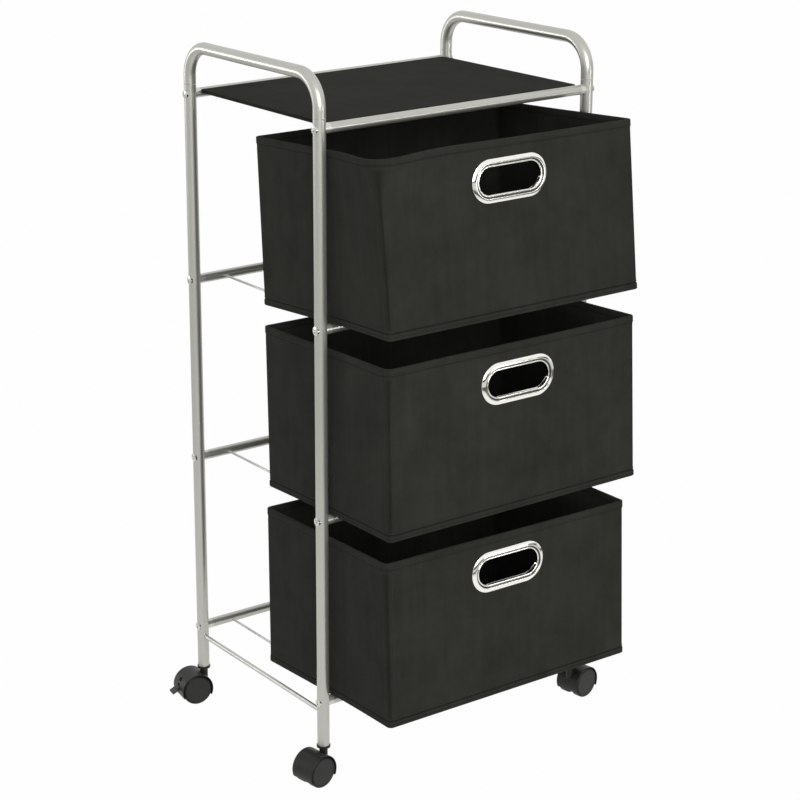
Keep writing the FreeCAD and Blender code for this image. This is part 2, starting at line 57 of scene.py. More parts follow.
bl_info = {
    "name": "Rolling storage shelf",
    "version": (1, 0, 0),
    "blender": (4, 5, 0),
    "location": "3D View > Sidebar > Shelf",
    "description": "Dresses a rolling storage shelf with sewn bins, plated eyelets and painted tube",
    "category": "Object",
}


# Settings

def length(name, description, default):
    """A size in metres."""
    return bpy.props.FloatProperty(name=name, description=description, default=default, min=0,
                                   unit="LENGTH", precision=5)


def amount(name, description, default, top, unit="NONE"):
    """A number from 0 to a top, such as a lamp's power or a level of light."""
    return bpy.props.FloatProperty(name=name, description=description, default=default, min=0, max=top,
                                   unit=unit)


def vector(name, description, default, subtype):
    """A place, a direction or a shift in the picture."""
    return bpy.props.FloatVectorProperty(name=name, description=description, default=default,
                                         size=len(default), subtype=subtype, precision=5)


def colour(name, description, default):
    """A colour in linear light."""
    return bpy.props.FloatVectorProperty(name=name, description=description, default=default, size=3,
                                         min=0, max=1, subtype="COLOR")


def per_bin(name, description, default, unit):
    """One value each for the upper, the middle and the lower bin."""
    return bpy.props.FloatVectorProperty(name=name, description=description, default=default, size=3,
                                         unit=unit, precision=5)


class ShelfClothSettings(bpy.types.PropertyGroup):
    """Sizes and colours of the sewn pieces."""

    cloth: colour("Cloth", "Colour of the non-woven cloth", (0.0270, 0.0277, 0.0228))
    # The cover is the bins' cloth darkened as painted shade, since its top faces up into more light
    cover: colour("Cover", "Colour of the top panel's cover", (0.0225, 0.0230, 0.0185))
    thread: colour("Thread", "Colour of the sewing thread", (0.008, 0.008, 0.007))
    wall: length("Wall", "Thickness of a bin's stiffened wall", 3.0 * MM)
    floor: length("Floor", "Thickness of a bin's floor", 2.5 * MM)
    binding: length("Binding", "Width of the binding over a bin's rim", 9.0 * MM)
    binding_rise: length("Binding rise", "How far the binding stands off the wall", 0.6 * MM)
    lip: length("Lip", "Height of the sewn lip round a bin's floor", 9.0 * MM)
    lip_out: length("Lip out", "Room for the sewn lip round the wall", 1.0 * MM)
    corner: length("Corner", "Radius of a bin's upright corners", 6.0 * MM)
    slack_corner: per_bin("Slack corners", "Radius of each bin's slackest corner, the front left, at the rim",
                          (24.0 * MM, 11.0 * MM, 9.0 * MM), "LENGTH")
    droop: per_bin("Droop", "Drop of each bin's slackest corner at the rim",
                   (6.0 * MM, 1.0 * MM, 0.8 * MM), "LENGTH")
    tuck: per_bin("Tuck", "Rearward give of each bin's slackest corner at the rim",
                  (8.0 * MM, 1.0 * MM, 0.0), "LENGTH")
    settle: per_bin("Settle", "Further tilt of each bin's cloth about the front rail's top",
                    (math.radians(-1.28), math.radians(0.79), math.radians(0.57)), "ROTATION")
    crumple: length("Crumple", "Height of the cloth's slow waves", 0.60 * MM)
    rim_sag: length("Rim sag", "Drop of the rim between its corners", 0.8 * MM)
    grid: length("Grid", "Spacing of the cloth's mesh", 4.0 * MM)
    stitch: length("Stitch", "Length of a stitch on the face", 3.4 * MM)
    stitch_pitch: length("Stitch pitch", "Distance from stitch to stitch", 5.0 * MM)
    stitch_in: length("Stitch inset", "Distance of the stitches from the binding's lower edge", 1.8 * MM)
    thread_width: length("Thread width", "Width of the sewing thread", 0.7 * MM)
    panel_skin: length("Panel cloth", "Thickness of the top panel's cover", 0.8 * MM)
    panel_hem: length("Panel hem", "Cloth turned in under the top panel", 28.0 * MM)
    panel_corner: length("Panel corner", "Radius of the top panel's corners", 5.0 * MM)


class ShelfEyeletSettings(bpy.types.PropertyGroup):
    """Sizes and colour of the hand-hole eyelets."""

    plating: colour("Plating", "Colour of the bright plating", (0.90, 0.885, 0.83))
    band: length("Band", "Width of the eyelet's flange", 10.0 * MM)
    ridge: length("Ridge", "Distance of the flange's ridge from the hole", 4.6 * MM)
    rise: length("Rise", "Height of the ridge over the flange's edge", 2.1 * MM)
    edge: length("Edge", "Height of the flange's edge", 0.45 * MM)
    bead: length("Bead", "Width of the bead round the hole", 2.2 * MM)
    bead_rise: length("Bead rise", "Height of the bead over the groove beside it", 1.0 * MM)
    groove: length("Groove", "Height of the groove between the bead and the ridge", 0.7 * MM)
    barrel: length("Barrel", "Thickness of the barrel through the wall", 1.0 * MM)
    depth: length("Depth", "Length of the barrel behind the cloth's face", 4.0 * MM)


class ShelfFinishSettings(bpy.types.PropertyGroup):
    """Colours of the rigid pieces."""

    paint: colour("Paint", "Silver-grey paint of the tubes", (0.515, 0.513, 0.473))
    saddle: colour("Saddle", "Paler paint of the saddles at the rails' ends", (0.66, 0.658, 0.61))
    wire: colour("Wire", "Dull zinc plating of the wires and rods", (0.53, 0.53, 0.505))
    steel: colour("Steel", "Bright zinc plating of the fastenings", (0.62, 0.62, 0.60))
    hood: colour("Hood", "Black plastic of the castors", (0.0165, 0.0168, 0.0145))
    wheel: colour("Wheel", "Dark plastic of the wheels", (0.026, 0.0264, 0.0228))
    pedal: colour("Pedal", "Grey plastic of the brake pedals", (0.060, 0.060, 0.060))
    board: colour("Board", "Raw hardboard under the top panel", (0.24, 0.15, 0.08))


class ShelfStageSettings(bpy.types.PropertyGroup):
    """Camera and light."""

    lens: amount("Lens", "Focal length on a 36 mm sensor", 99.612, 1000, "CAMERA")
    shift: vector("Shift", "Shift of the picture in its frame's width", (0.21597, -0.07422), "XYZ")
    eye: vector("Eye", "Where the camera stands", (-1.6977, -2.2734, 1.3908), "TRANSLATION")
    look: vector("Look", "Direction of the camera's view", (0.51297, 0.80731, -0.29175), "DIRECTION")
    right: vector("Right", "Direction to the picture's right", (0.84078, -0.54105, -0.01884), "DIRECTION")
    floor: colour("Floor", "Pale floor", (0.45, 0.45, 0.45))
    floor_reach: length("Floor reach", "Half the width of the floor", 14.0)
    sky: amount("Sky", "Strength of the even light all round", 0.35, 10)
    key: amount("Key", "Power of the main lamp", 78.0, 1000, "POWER")
    low: amount("Low", "Power of the low lamp at the front right", 9.0, 1000, "POWER")
    rear: amount("Rear", "Power of the low lamp at the rear left", 11.0, 1000, "POWER")
    far_floor: amount("Far floor", "Level of the far floor in mirrors", 0.72, 1)
    dark_floor: amount("Dark floor", "Level of the floor's dark side in mirrors", 0.10, 1)
    dark_room: amount("Dark room", "Level of the room ahead in mirrors", 0.06, 1)


# Shapes

# The mesh's steps in a board's corner, and the tightest corner inside its edge
BOARD_STEPS, BOARD_TIGHT = 8, 0.6 * MM


def mesh_points(mesh):
    """Vertices of a mesh as rows of x, y, z."""
    flat = np.empty(len(mesh.vertices) * 3)
    mesh.vertices.foreach_get("co", flat)
    return flat.reshape(-1, 3)


def plan_of(low, high):
    """Half the width, half the depth and the height of a box, and the middle of its foot."""
    half = (high - low) / 2
    foot = np.array([(low[0] + high[0]) / 2, (low[1] + high[1]) / 2, low[2]])
    return half[0], half[1], high[2] - low[2], foot


def smooth(t):
    """Ease from 0 to 1 as t goes from 0 to 1: 3 t squared less 2 t cubed."""
    t = np.clip(t, 0, 1)
    return t * t * (3 - 2 * t)


def hump(t):
    """Bell of height 1 at t = 0: e to the minus t squared."""
    return np.exp(-t * t)


def stations(counts):
    """Stations 0 to 8 round a rounded rectangle, counts[k] steps on span k."""
    return np.concatenate([k + np.arange(n) / max(n, 1) for k, n in enumerate(counts)])


def rounded_path(station, half_x, half_y, radius):
    """Point and outward direction on a rounded rectangle, anticlockwise from the low-y side's left end.

    Even spans are straight sides, (2 f - 1) times the half length less the radius. Odd spans are quarter
    circles turned by f times 90 degrees. Each pair of spans is turned by 90 degrees from the pair before.
    """
    span = np.floor(station).astype(int) % 8
    f = station - np.floor(station)
    side = span // 2
    along = np.where(side % 2 == 0, half_x, half_y)
    across = np.where(side % 2 == 0, half_y, half_x)
    turn = np.where(span % 2 == 1, f * np.pi / 2, 0)
    x = np.where(span % 2 == 0, (2 * f - 1) * (along - radius), along - radius + radius * np.sin(turn))
    y = np.where(span % 2 == 0, -across, -across + radius - radius * np.cos(turn))
    heading = side * np.pi / 2
    c, s = np.cos(heading), np.sin(heading)
    out_x, out_y = np.sin(turn), -np.cos(turn)
    return x * c - y * s, x * s + y * c, out_x * c - out_y * s, out_x * s + out_y * c


def path_lengths(half_x, half_y, radius):
    """Distance along a rounded rectangle at stations 0 to 8."""
    straight_x, straight_y, arc = 2 * (half_x - radius), 2 * (half_y - radius), radius * np.pi / 2
    return np.concatenate([[0], np.cumsum([straight_x, arc, straight_y, arc] * 2)])


def grid_quads(rows, columns):
    """Quads of a grid that closes round its columns, as vertex numbers, one row of four each."""
    i, j = np.meshgrid(np.arange(rows - 1), np.arange(columns), indexing="ij")
    k = (j + 1) % columns
    return np.stack([i * columns + j, i * columns + k, (i + 1) * columns + k, (i + 1) * columns + j], -1)


def grid_corners(u, v):
    """UV at the corners of each quad of a closed grid: u has a value more than its columns, v one a row."""
    low_u, low_v = np.meshgrid(u[:-1], v[:-1])
    high_u, high_v = np.meshgrid(u[1:], v[1:])
    corners = [(low_u, low_v), (high_u, low_v), (high_u, high_v), (low_u, high_v)]
    return np.stack([np.stack(c, -1) for c in corners], -2)


def end_caps(rows, columns):
    """The first and the last row of a closed grid, each as one large face."""
    return [np.arange(columns)[::-1], np.arange(columns) + (rows - 1) * columns]


def section_run(rows):
    """Distance along a section at each of its rows."""
    return np.concatenate([[0], np.cumsum(np.hypot(*np.diff(rows, axis=0).T))])


def round_edge(depth, thickness, count):
    """Inset and height round the edge of a board, half an ellipse from its foot to its top."""
    phi = np.linspace(-np.pi / 2, np.pi / 2, count)
    return np.stack([depth - depth * np.cos(phi), thickness / 2 + thickness / 2 * np.sin(phi)], -1)


def carried_round(rows, half_x, half_y, radius, grid):
    """Points, quads, caps and UV of a section, rows of inset and height, carried round a rounded plan."""
    station = stations([int(2 * half_x / grid), BOARD_STEPS, int(2 * half_y / grid), BOARD_STEPS] * 2)
    inset, height = rows[:, 0:1], rows[:, 1:2]
    tight = np.maximum(radius - inset, BOARD_TIGHT)
    x, y = rounded_path(station[None, :], half_x - inset, half_y - inset, tight)[:2]
    points = np.stack([x, y, np.broadcast_to(height, x.shape)], -1).reshape(-1, 3)
    quads = grid_quads(len(rows), len(station)).reshape(-1, 4)
    along = np.interp(np.append(station, 8), np.arange(9), path_lengths(half_x, half_y, radius))
    uv = grid_corners(along, section_run(rows)).reshape(-1, 2)
    return points, quads, end_caps(len(rows), len(station)), uv


def facing_out(points, quads):
    """The quads, turned over if the volume they enclose, a sum of corner products over 6, is negative."""
    a, b, c, d = (points[quads[:, k]] for k in range(4))
    volume = np.einsum("ij,ij->", a, np.cross(b, c)) + np.einsum("ij,ij->", a, np.cross(c, d))
    return quads if volume > 0 else quads[:, ::-1]


def add_piece(name, points, quads, caps, material, body):
    """Mesh object from points, quads and a few larger cap faces, riding on a body of the frame."""
    mesh = bpy.data.meshes.new(name)
    mesh.from_pydata(points.tolist(), [], quads.tolist() + [list(c) for c in caps])
    mesh.shade_smooth()
    mesh.materials.append(material)
    piece = bpy.data.objects.new(name, mesh)
    bpy.context.scene.collection.objects.link(piece)
    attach(piece, body)
    return piece


def set_cloth_uv(piece, corners):
    """UV map in metres along the cloth, one pair for each face corner; cap corners follow x and y."""
    mesh = piece.data
    layer = mesh.uv_layers.new(name="Cloth")
    corner_vertex = np.empty(len(mesh.loops), int)
    mesh.loops.foreach_get("vertex_index", corner_vertex)
    uv = mesh_points(mesh)[corner_vertex, :2]
    uv[:len(corners)] = corners
    layer.uv.foreach_set("vector", uv.ravel())


def waves(u, v, seed, low, high, count):
    """Slow waves: a sum of sines of random direction and phase, low to high cycles a metre, about 1 high."""
    draw = np.random.default_rng(seed)
    total = np.zeros(np.broadcast(u, v).shape)
    for cycles in np.geomspace(low, high, count):
        angle, phase = draw.uniform(0, 2 * np.pi, 2)
        total += np.sin(2 * np.pi * cycles * (u * np.cos(angle) + v * np.sin(angle)) + phase) * low / cycles
    return total


# Materials

# Depth of the cloth's relief, pitch of its bonded dots, and gloss of the bins' cloth and of the panel's
CLOTH_RELIEF, DOT_PITCH, BIN_GLOSS, COVER_GLOSS = 0.16 * MM, 1.7 * MM, 0.10, 0.06


def feed(tree, node, inputs):
    """Set a node's inputs to values, or link them to the outputs of other nodes."""
    for key, value in inputs.items():
        if isinstance(value, bpy.types.NodeSocket):
            tree.links.new(value, node.inputs[key])
        else:
            node.inputs[key].default_value = value


def add_node(tree, kind, inputs=None, **values):
    """A shader node with its own settings and its inputs."""
    node = tree.nodes.new(f"ShaderNode{kind}")
    for key, value in values.items():
        setattr(node, key, value)
    feed(tree, node, inputs or {})
    return node


def new_material(name):
    """A node material with its tree, its shader and the coordinates of its piece."""
    material = bpy.data.materials.new(name)
    material.use_nodes = True
    tree = material.node_tree
    place = add_node(tree, "TexCoord").outputs["Object"]
    return material, tree, tree.nodes["Principled BSDF"], place


def calc(tree, operation, a, b=0.0):
    """One sum of two sockets or numbers."""
    return add_node(tree, "Math", {0: a, 1: b}, operation=operation).outputs[0]


def vector_calc(tree, operation, a, b=(0, 0, 0)):
    """One sum of two vectors, of which a length and a dot product are plain numbers."""
    node = add_node(tree, "VectorMath", {0: a, 1: b}, operation=operation)
    return node.outputs["Value" if operation in ("LENGTH", "DOT_PRODUCT") else "Vector"]


def weighed(tree, *terms):
    """Sockets times their weights, added up."""
    total = 0.0
    for socket, weight in terms:
        total = calc(tree, "ADD", total, calc(tree, "MULTIPLY", socket, weight))
    return total


def noise(tree, place, scale, detail=3.0, roughness=0.55):
    """Noise of a given number of waves a metre."""
    inputs = {"Vector": place, "Scale": scale, "Detail": detail, "Roughness": roughness}
    return add_node(tree, "TexNoise", inputs).outputs["Fac"]


def spread(tree, fac, low, high):
    """A factor spread from one number or socket to another."""
    return add_node(tree, "MapRange", {"Value": fac, "To Min": low, "To Max": high}).outputs["Result"]


def eased(tree, value, start, end, low, high):
    """A smooth step of a value from one number at its start to another at its end."""
    inputs = {"Value": value, "From Min": start, "From Max": end, "To Min": low, "To Max": high}
    return add_node(tree, "MapRange", inputs, interpolation_type="SMOOTHSTEP").outputs["Result"]


def rgba(tint, factor=1.0):
    """A tint times a factor, no channel above 1, with full alpha."""
    return (*[min(c * factor, 1) for c in tint], 1)


def between(tree, fac, first, second):
    """A colour between two colours or sockets."""
    return add_node(tree, "Mix", {"Factor": fac, "A": first, "B": second}, data_type="RGBA").outputs["Result"]


def shade(tree, fac, tint, dark, light):
    """A tint darkened and lightened by a factor."""
    return between(tree, fac, rgba(tint, dark), rgba(tint, light))


def relief(tree, height, distance):
    """The normal of a relief from its height."""
    return add_node(tree, "Bump", {"Height": height, "Distance": distance, "Strength": 1.0}).outputs["Normal"]


def attribute(tree, name):
    """A number that the piece's mesh holds for each point."""
    return add_node(tree, "Attribute", attribute_name=name).outputs["Fac"]


def cloth_material(name, tint, gloss):
    """Matt non-woven cloth: bonded dots in a staggered pattern, loose fibres, slow mottling, painted seam
    shade.
    """
    material, tree, shader, place = new_material(name)
    uv = add_node(tree, "UVMap", uv_map="Cloth").outputs["UV"]
    split = add_node(tree, "SeparateXYZ", {0: uv})
    along, up = split.outputs["X"], split.outputs["Y"]
    turns = 2 * math.pi / DOT_PITCH / math.sqrt(2)
    rising = calc(tree, "SINE", calc(tree, "MULTIPLY", calc(tree, "ADD", along, up), turns))
    falling = calc(tree, "SINE", calc(tree, "MULTIPLY", calc(tree, "SUBTRACT", along, up), turns))
    dots = calc(tree, "MULTIPLY", rising, falling)
    fibre = noise(tree, place, 2600, 4.0, 0.65)
    drawn = add_node(tree, "CombineXYZ", {"X": along, "Y": calc(tree, "MULTIPLY", up, 0.08)})
    streaks = noise(tree, drawn.outputs["Vector"], 90)
    slow = noise(tree, place, 17, 6.0, 0.68)
    mottled = shade(tree, weighed(tree, (slow, 0.55), (streaks, 0.22), (fibre, 0.23)), tint, 0.0, 2.0)
    feed(tree, shader, {
        # The seam attribute darkens the colour as painted shade in the creases along the seams
        "Base Color": between(tree, attribute(tree, "seam"), mottled, rgba(tint, 0.25)),
        "Roughness": spread(tree, fibre, 0.80, 0.98),
        "Normal": relief(tree, weighed(tree, (dots, 0.5), (fibre, 1.0)), CLOTH_RELIEF),
        "Specular IOR Level": gloss,
        "Sheen Weight": 0.3 * gloss,
        "Sheen Roughness": 0.5,
    })
    return material


def thread_material(name, tint):
    """Twisted sewing thread with a soft shine."""
    material, tree, shader, place = new_material(name)
    ply = noise(tree, place, 1900, 2.0)
    feed(tree, shader, {
        "Base Color": shade(tree, ply, tint, 0.7, 1.35),
        "Normal": relief(tree, ply, 0.1 * MM),
        "Roughness": 0.6,
    })
    return material


def paint_material(name, tint):
    """Silver powder paint: metal flake under a fine orange-peel skin."""
    material, tree, shader, place = new_material(name)
    flake, slow = noise(tree, place, 2200, 2.0), noise(tree, place, 9)
    feed(tree, shader, {
        "Base Color": shade(tree, weighed(tree, (flake, 0.5), (slow, 0.5)), tint, 0.88, 1.12),
        "Roughness": spread(tree, flake, 0.27, 0.40),
        "Normal": relief(tree, noise(tree, place, 700, 2.0), 0.06 * MM),
        "Metallic": 0.75,
    })
    return material


def steel_material(name, tint, rough):
    """Zinc-plated steel with drawing marks and a faint bloom."""
    material, tree, shader, place = new_material(name)
    marks, bloom = noise(tree, place, 900, 4.0), noise(tree, place, 60)
    feed(tree, shader, {
        "Base Color": shade(tree, bloom, tint, 0.84, 1.12),
        "Roughness": spread(tree, marks, rough * 0.75, rough * 1.3),
        "Normal": relief(tree, marks, 0.03 * MM),
        "Metallic": 1.0,
    })
    return material


def chrome_material(name, tint):
    """Bright plating with faint polishing haze, darkened in the groove by the bead as painted shade."""
    material, tree, shader, place = new_material(name)
    haze = noise(tree, place, 180, 4.0)
    bright = shade(tree, haze, tint, 0.95, 1.04)
    feed(tree, shader, {
        # The groove attribute darkens the plating to a tenth as painted shade in the groove
        "Base Color": between(tree, attribute(tree, "groove"), bright, rgba(tint, 0.10)),
        "Roughness": spread(tree, haze, 0.05, 0.13),
        "Metallic": 1.0,
    })
    return material


def plastic_material(name, tint, rough, grain):
    """Moulded plastic with spark-eroded grain and slight scuffing."""
    material, tree, shader, place = new_material(name)
    scuff = noise(tree, place, 120, 5.0, 0.7)
    feed(tree, shader, {
        "Base Color": shade(tree, scuff, tint, 0.75, 1.35),
        "Roughness": spread(tree, scuff, rough * 0.8, rough * 1.3),
        "Normal": relief(tree, noise(tree, place, 1500), grain),
        "Specular IOR Level": 0.22,
    })
    return material


def wheel_material(name, tint, axle, axis):
    """Moulded plastic of a wheel that stands on the floor, with painted shade darkening its rim beside the
    hood.

    The distance from the axle is the length of a cross product, and the wheel's radius is the axle's height.
    """
    material = plastic_material(name, tint, 0.42, 0.05 * MM)
    tree, radius = material.node_tree, axle[2]
    shader = tree.nodes["Principled BSDF"]
    offset = vector_calc(tree, "SUBTRACT", add_node(tree, "TexCoord").outputs["Object"], axle)
    reach = vector_calc(tree, "LENGTH", vector_calc(tree, "CROSS_PRODUCT", offset, axis))
    # Painted shade: the ring at the wheel's rim, next to the hood, darkens to a tenth of the tint
    rim = eased(tree, reach, 0.83 * radius, 0.90 * radius, 0, 1)
    scuffed = shader.inputs["Base Color"].links[0].from_socket
    feed(tree, shader, {"Base Color": between(tree, rim, scuffed, rgba(tint, 0.1))})
    return material


def board_material(name, tint):
    """Raw hardboard: pressed fibre with a mesh-marked back."""
    material, tree, shader, place = new_material(name)
    fibre = noise(tree, place, 800, 5.0, 0.7)
    feed(tree, shader, {
        "Base Color": shade(tree, fibre, tint, 0.6, 1.4),
        "Normal": relief(tree, fibre, 0.2 * MM),
        "Roughness": 0.85,
    })
    return material


def paint_nodes(material, *endings):
    """Give a material to every node of the frame whose name ends in one of these words."""
    found = [n for n in NODES if n.endswith(endings)]
    if not found:
        raise RuntimeError(f"no node ends in {endings}")
    for node in found:
        slots = NODES[node].data.materials
        slots.clear()
        slots.append(material)


# Bins

# How far the slack corner reaches down, the eyelet's calm reaches out, and the droop and tuck reach along
SLACK_REACH, CALM_REACH, DROOP_REACH, TUCK_REACH = 60 * MM, 30 * MM, 55 * MM, 80 * MM
# Slowest and quickest waves of the cloth, in cycles a metre, and their number
WAVES = 6, 34, 7
# How far the foot and the rim hold the cloth flat, how far the rim bows in, and the front's share of that
FOOT_HOLD, RIM_HOLD, BOW_IN, FRONT_BOW = 25 * MM, 22 * MM, 1.4 * MM, 0.2
# Share of the wall's height over which a fold fades out, and the step along the path for a seam's direction
FOLD_FADE, SEAM_STEP = 0.18, 0.002
# Height of the rim's round, the tightest corner inside, and the mesh's steps in an upright corner
RIM_ROUND, TIGHT, CORNER_STEPS = 1.7 * MM, 0.8 * MM, 12
# A fold's wall, place along it, ends as shares of the height, width, depth and lean; walls are the even spans
Fold = namedtuple("Fold", "span along low high width depth lean")
FOLDS = {
    "upper": (
        Fold(0, 0.53, -0.20, 0.46, 0.010, 0.0022, 0.08),
        Fold(0, 0.86, 0.72, 0.96, 0.008, -0.0018, -0.5),
        Fold(0, 0.66, 0.05, 0.60, 0.013, -0.0021, -0.12),
        Fold(6, 0.89, 0.10, 1.20, 0.014, 0.0014, 0.02),
    ),
    "middle": (
        Fold(0, 0.76, 0.30, 0.85, 0.011, -0.0012, -0.45),
        Fold(0, 0.40, 0.00, 0.55, 0.014, 0.0009, 0.15),
        Fold(6, 0.72, -0.10, 0.75, 0.012, 0.0010, 0.05),
    ),
    "lower": (
        Fold(6, 0.55, 0.20, 0.90, 0.014, 0.0008, 0.10),
        Fold(0, 0.62, 0.10, 0.70, 0.014, 0.0008, -0.2),
    ),
}

# Shift to the right and up, in millimetres, at the front left, front right, rear right and rear left corner
Give = namedtuple("Give", "foot rim")
GIVES = {
    "upper": Give(((3, -3), (9, -3), (2, 0), (-2, 0)), ((-2.8, 2.5), (0, -1.0), (0, 0), (-2.8, 0))),
    "middle": Give(((0, -2.3), (9, 0), (2, 0), (-2, 0)), ((0, 0), (3.4, 0), (0, 0), (-2, 0))),
    "lower": Give(((3, -3), (3.4, -2), (0, 0), (-2.8, 0)), ((0, 0), (0, -3.3), (0, 0), (0, 0))),
}


def bin_turn(name):
    """Turn of a bin about X, read from its base board, whose thinnest direction is the bin's own up."""
    board = mesh_points(NODES[f"{name}_bin_base_board"].data)
    up = np.linalg.svd(board - board.mean(0), full_matrices=False)[2][2]
    up = up * np.sign(up[2])
    return np.array(Matrix.Rotation(math.atan2(-up[1], up[2]), 3, "X"))


def own_box(node, turn):
    """Lowest and highest corner of a node in turned axes."""
    points = mesh_points(NODES[node].data) @ turn
    return points.min(0), points.max(0)


class BinForm:
    """Form of one bin's cloth in the bin's own axes, centred on its plan and with its floor at height 0."""

    def __init__(self, scene, name):
        cloth, eyelet, order = scene.shelf_cloth, scene.shelf_eyelet, BINS.index(name)
        self.cloth, self.name, self.seed = cloth, name, order + 3
        self.turn = bin_turn(name)
        low, high = own_box(f"{name}_bin_shell", self.turn)
        ring_low, ring_high = own_box(f"{name}_bin_eyelet", self.turn)
        half_x, half_y, self.height, self.middle = plan_of(low, high)
        self.half_x, self.half_y = half_x - cloth.lip_out, half_y - cloth.lip_out
        self.hole = (ring_low + ring_high) / 2 - self.middle
        self.hole_half = (ring_high - ring_low)[[0, 2]] / 2 - eyelet.band
        self.flange = eyelet.band
        self.slack_corner, self.settle = cloth.slack_corner[order], cloth.settle[order]
        self.droop, self.tuck = cloth.droop[order], cloth.tuck[order]
        self.lengths = path_lengths(self.half_x, self.half_y, cloth.corner)

    def along(self, station):
        """Distance round the bin at a station."""
        return np.interp(station, np.arange(9), self.lengths)

    def corner_radius(self, station, z):
        """Tight corners, apart from the slack front left one, which widens towards the rim."""
        tight = self.cloth.corner
        slack = np.interp(station % 8, [0, 1, 6, 7, 8], [1, 0, 0, 1, 1])
        rise = smooth((z - self.height + SLACK_REACH) / SLACK_REACH)
        return tight + (self.slack_corner - tight) * slack * rise

    def calm(self, span, f, z):
        """0 under the eyelet's flange, which clamps the cloth flat, rising to 1 away from it."""
        x = (2 * f - 1) * (self.half_x - self.cloth.corner) - self.hole[0]
        half_width, half_height = self.hole_half
        off = np.hypot(np.maximum(np.abs(x) - half_width + half_height, 0), z - self.hole[2]) - half_height
        return np.where(span == 0, smooth((off - self.flange) / CALM_REACH), 1)

    def folds(self, span, along, rise):
        """Soft folds: each a bell across its line, which leans as it rises and fades out at both ends."""
        total = 0
        for fold in FOLDS[self.name]:
            start, end = self.lengths[fold.span], self.lengths[fold.span + 1]
            line = start + (end - start) * fold.along + fold.lean * (rise - fold.low) * self.height
            ends = smooth((rise - fold.low) / FOLD_FADE) * smooth((fold.high - rise) / FOLD_FADE)
            bell = fold.depth * hump((along - line) / fold.width) * ends
            total = total + np.where(span == fold.span, bell, 0)
        return total

    def off_corner(self, station):
        """Distance from the middle of an upright corner, and a large number on the walls."""
        f = station - np.floor(station)
        return np.where(np.floor(station) % 2 == 0, 1.0, (f - 0.5) * self.cloth.corner * np.pi / 2)

    def sewn(self, z):
        """1 along the upright seams, 0 at the lip and under the binding."""
        low, high = self.cloth.lip + 2 * MM, self.height - self.cloth.binding - 2 * MM
        return smooth((z - low) / (5 * MM)) * smooth((high - z) / (5 * MM))

    def swell(self, station, z):
        """How far the cloth stands off its plane: slow waves, folds, creases and walls bowed at the rim."""
        c = self.cloth
        span = np.floor(station).astype(int) % 8
        f = station - np.floor(station)
        wall = span % 2 == 0
        rise = z / self.height
        along = self.along(station)
        wave = c.crumple * waves(along, z, self.seed, *WAVES) * np.where(wall, np.sin(np.pi * f) ** 0.5, 0)
        held = smooth((z - c.lip) / FOOT_HOLD) * smooth((self.height - 3 * MM - z) / RIM_HOLD)
        bow = np.where(wall, np.sin(np.pi * f), 0) * np.where(span == 0, FRONT_BOW, 1.0)
        off = self.off_corner(station)
        ridges = 0.3 * MM * hump((np.abs(off) - 3.0 * MM) / (1.3 * MM))
        valley = 0.7 * MM * hump(off / (1.5 * MM))
        slack = (wave + self.folds(span, along, rise)) * held - BOW_IN * bow * rise ** 2
        return slack * self.calm(span, f, z) + (ridges - valley) * self.sewn(z)

    def seam_line(self, station, z):
        """Painted shade, 1 in the creases by the lip, binding and upright seams, falling to 0 around them."""
        c = self.cloth
        edge = self.height - c.binding
        over_lip = 0.85 * hump((z - c.lip - 0.5 * MM) / (1.1 * MM))
        lip = over_lip + 0.45 * hump((z - 0.5 * c.lip) / (0.8 * MM))
        under_edge = 0.5 * hump((z - edge + 0.3 * MM) / (0.8 * MM))
        bound = under_edge + 0.4 * hump((z - edge - c.stitch_in) / (0.8 * MM))
        upright = 0.5 * hump(self.off_corner(station) / (2.4 * MM)) * self.sewn(z)
        return np.clip(np.maximum(np.maximum(lip, bound), upright), 0, 1)

    def section_out(self, z):
        """How far the outer face stands past the wall: the sewn lip, the groove over it and the binding."""
        c = self.cloth
        lip = 0.8 * c.lip_out * smooth((c.lip - z) / (1.2 * MM))
        groove = 0.4 * MM * hump((z - c.lip - 0.5 * MM) / (0.9 * MM))
        return lip - groove + self.bound(z)

    def bound(self, z):
        """Rise of the binding, with a rounded fold at its lower edge and a groove where it is stitched."""
        c = self.cloth
        edge = self.height - c.binding
        fold = 0.3 * MM * hump((z - edge - 0.7 * MM) / (0.8 * MM))
        groove = 0.25 * MM * hump((z - edge - c.stitch_in) / (0.8 * MM))
        return c.binding_rise * smooth((z - edge) / (0.8 * MM)) + fold - groove

    def give(self, station, z):
        """Shift of the slack cloth to the right and up, from that at the corners' foot and rim.

        It runs in straight lines along the walls and up them. The upward part ends ahead of the front rail.
        """
        corners = [0, 1, 1, 2, 2, 3, 3, 0, 0]
        foot, rim = (np.array(shift)[corners].T * MM for shift in GIVES[self.name])
        turn, spans = station % 8, np.arange(9)
        rise = np.clip(z / self.height, 0, 1)
        right, up = (np.interp(turn, spans, a) * (1 - rise) + np.interp(turn, spans, b) * rise
                     for a, b in zip(foot, rim))
        return right, up * np.interp(turn, [0, 2, 2.36, 6.64, 7, 8], [1, 1, 0, 0, 1, 1])

    def point(self, station, z, inset):
        """Place in the bin's axes: the rounded path, drawn in by an inset, moved out by the swell and sagged.

        The rim dips a little along each wall, a sine. At the front left corner it droops and gives way to the
        rear, each a bell along the path.
        """
        radius = np.maximum(self.corner_radius(station, z) - inset, TIGHT)
        x, y, out_x, out_y = rounded_path(station, self.half_x - inset, self.half_y - inset, radius)
        swell = self.swell(station, z)
        f = station - np.floor(station)
        rise = z / self.height
        dip = np.where(np.floor(station) % 2 == 0, np.sin(np.pi * f), 0) * rise ** 6
        right, up = self.give(station, z)
        along = self.along(station % 8)
        off = np.minimum(along, self.lengths[-1] - along)
        droop = self.droop * hump(off / DROOP_REACH) * rise ** 4
        tuck = self.tuck * hump(off / TUCK_REACH) * rise ** 2
        sagged = z - self.cloth.rim_sag * dip - droop + up
        place = np.broadcast_arrays(x + out_x * swell + right, y + out_y * swell + tuck, sagged)
        return np.stack(place, -1)

